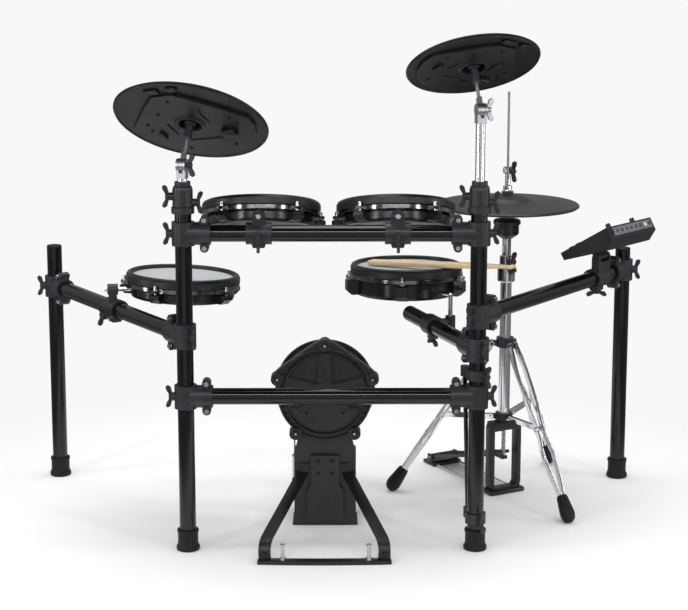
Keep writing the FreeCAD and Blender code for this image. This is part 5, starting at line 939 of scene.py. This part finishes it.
edges += [slab((3.2, 92, 1.6), 0.6, (12 + side * 23.4, -32, 0.5)) for side in (-1, 1)]
joined("module_display_frame", edges, MODULE, nylon, "module")
section = [(20.2, 0), (20.2, 0.8), (21, 1.4), (22.6, 1.4), (23.4, 0)]
ring = spun("ring", section, MODULE @ moved(4, 62, 0), spring_steel)
joined("module_dial_ring", [ring], HERE, spring_steel, "module")
marks = [slab((5.4, 1.1, 0.7), 0.25, (59.6, y, 12.1)) for y in (-70, 40)]
joined("module_knob_pointers", marks, MODULE, pale_plastic, "module")

# %% [markdown]
# ## Studio
# A product studio: a white floor and a white wall behind, and a dim room on the camera's side. Long narrow
# boxes of light draw the thin bright lines along the tubes, and the black paint between them stays black.

# %% Floor and wall
WALL = "#F8F8F8"


def seen_directly(tree):
    """Two factors: one for what the camera sees itself or through glass, and one for what mirrors see."""
    path = add(tree, "ShaderNodeLightPath")
    camera_or_glass = add(tree, "ShaderNodeMath", {"operation": "MAXIMUM"},
                          {0: path.outputs["Is Camera Ray"], 1: path.outputs["Is Transmission Ray"]})
    return camera_or_glass.outputs["Value"], path.outputs["Is Glossy Ray"]


floor_finish, tree, shader = new_finish("studio_floor_matt", Roughness=0.9, Specular_IOR_Level=0.1)
place = add(tree, "ShaderNodeTexCoord").outputs["Object"]
dust = add(tree, "ShaderNodeTexNoise", {"Scale": 2.0, "Detail": 2}, {"Vector": place})
tree.links.new(ramp(tree, dust.outputs["Fac"], "#F3F3F3", "#F6F6F6"), shader.inputs["Base Color"])
FLOOR_SIZE, FLOOR_FRONT, FLOOR_IN_MIRRORS = 60, 1.6, 0.22
FADE = (0.65, 1.25)
floor_middle = (0, FLOOR_SIZE / 2 - FLOOR_FRONT, 0)
from_kit = add(tree, "ShaderNodeVectorMath", {"operation": "ADD", 1: floor_middle}, {0: place})
reach = add(tree, "ShaderNodeVectorMath", {"operation": "LENGTH"}, {0: from_kit.outputs["Vector"]})
far = remap(tree, reach.outputs["Value"], FADE, smooth=True)
direct, mirrored = seen_directly(tree)
shown = add(tree, "ShaderNodeMath", {"operation": "MAXIMUM"}, {0: direct, 1: mirrored})
share = add(tree, "ShaderNodeMath", {"operation": "MULTIPLY"}, {0: far, 1: shown.outputs["Value"]})
# Mirrors see the far floor as a dim one, so that black paint stays black and chrome keeps its dark lines.
dimmed = add(tree, "ShaderNodeMath", {"operation": "MULTIPLY", 1: FLOOR_IN_MIRRORS}, {0: mirrored})
glow = add(tree, "ShaderNodeMath", {"operation": "MAXIMUM"}, {0: direct, 1: dimmed.outputs["Value"]})
plain = add(tree, "ShaderNodeEmission", {"Color": linear(WALL)}, {"Strength": glow.outputs["Value"]})
both = add(tree, "ShaderNodeMixShader", None,
           {"Fac": share.outputs["Value"], 1: shader.outputs["BSDF"], 2: plain.outputs["Emission"]})
tree.links.new(both.outputs["Shader"], tree.nodes["Material Output"].inputs["Surface"])
select_none()
bpy.ops.mesh.primitive_plane_add(size=FLOOR_SIZE, location=floor_middle)
floor = bpy.context.object
floor.name = "studio_floor"
floor.data.materials.append(floor_finish)
print("floor", floor.name, FLOOR_SIZE, "m wide")

# %% World and lamps
# How bright the room is as a light on surfaces.
LIT = 0.53
world = bpy.data.worlds.new("studio")
bpy.context.scene.world = world
world.use_nodes = True
tree = world.node_tree
sky = tree.nodes["Background"]
sky.inputs["Color"].default_value = linear(WALL)
direct, mirrored = seen_directly(tree)
around = add(tree, "ShaderNodeTexCoord").outputs["Generated"]
way = add(tree, "ShaderNodeSeparateXYZ", None, {"Vector": around})
behind = remap(tree, way.outputs["Y"], (-0.2, 0.5), (0.03, 0.42), smooth=True)
panel = remap(tree, way.outputs["Y"], (-0.78, -0.94), (0, 0.50), smooth=True)
room = add(tree, "ShaderNodeMath", {"operation": "ADD"}, {0: behind, 1: panel})
lit_or_room = add(tree, "ShaderNodeMix", {"A": LIT}, {"Factor": mirrored, "B": room.outputs["Value"]})
level = add(tree, "ShaderNodeMix", {"B": 1.0}, {"Factor": direct, "A": lit_or_room.outputs["Result"]})
tree.links.new(level.outputs["Result"], sky.inputs["Strength"])


def soft_box(name, spot, aim, size, watts):
    lamp = bpy.data.lights.new(name, "AREA")
    lamp.shape = "RECTANGLE"
    lamp.size, lamp.size_y = size
    lamp.energy = watts
    holder = bpy.data.objects.new(name, lamp)
    holder.location = spot
    holder.rotation_euler = (Vector(aim) - Vector(spot)).to_track_quat("-Z", "Y").to_euler()
    bpy.context.scene.collection.objects.link(holder)


soft_box("left_strip", (-3.0, -3.1, 1.4), (0, 0, 0.7), (0.35, 2.6), 42)
soft_box("far_left_strip", (-3.9, -0.9, 1.4), (0, 0, 0.7), (0.5, 2.6), 30)
soft_box("right_strip", (3.0, -3.1, 1.4), (0, 0, 0.7), (0.35, 2.6), 34)
soft_box("far_right_strip", (3.9, -0.6, 1.4), (0, 0, 0.7), (0.5, 2.6), 30)
soft_box("front_strip", (0, -3.9, 3.0), (0, 0, 0.6), (4.2, 0.35), 55)
soft_box("top_box", (0, 0.4, 4.2), (0, 0, 0.4), (3.2, 2.6), 95)
bpy.context.scene.view_settings.view_transform = "Standard"
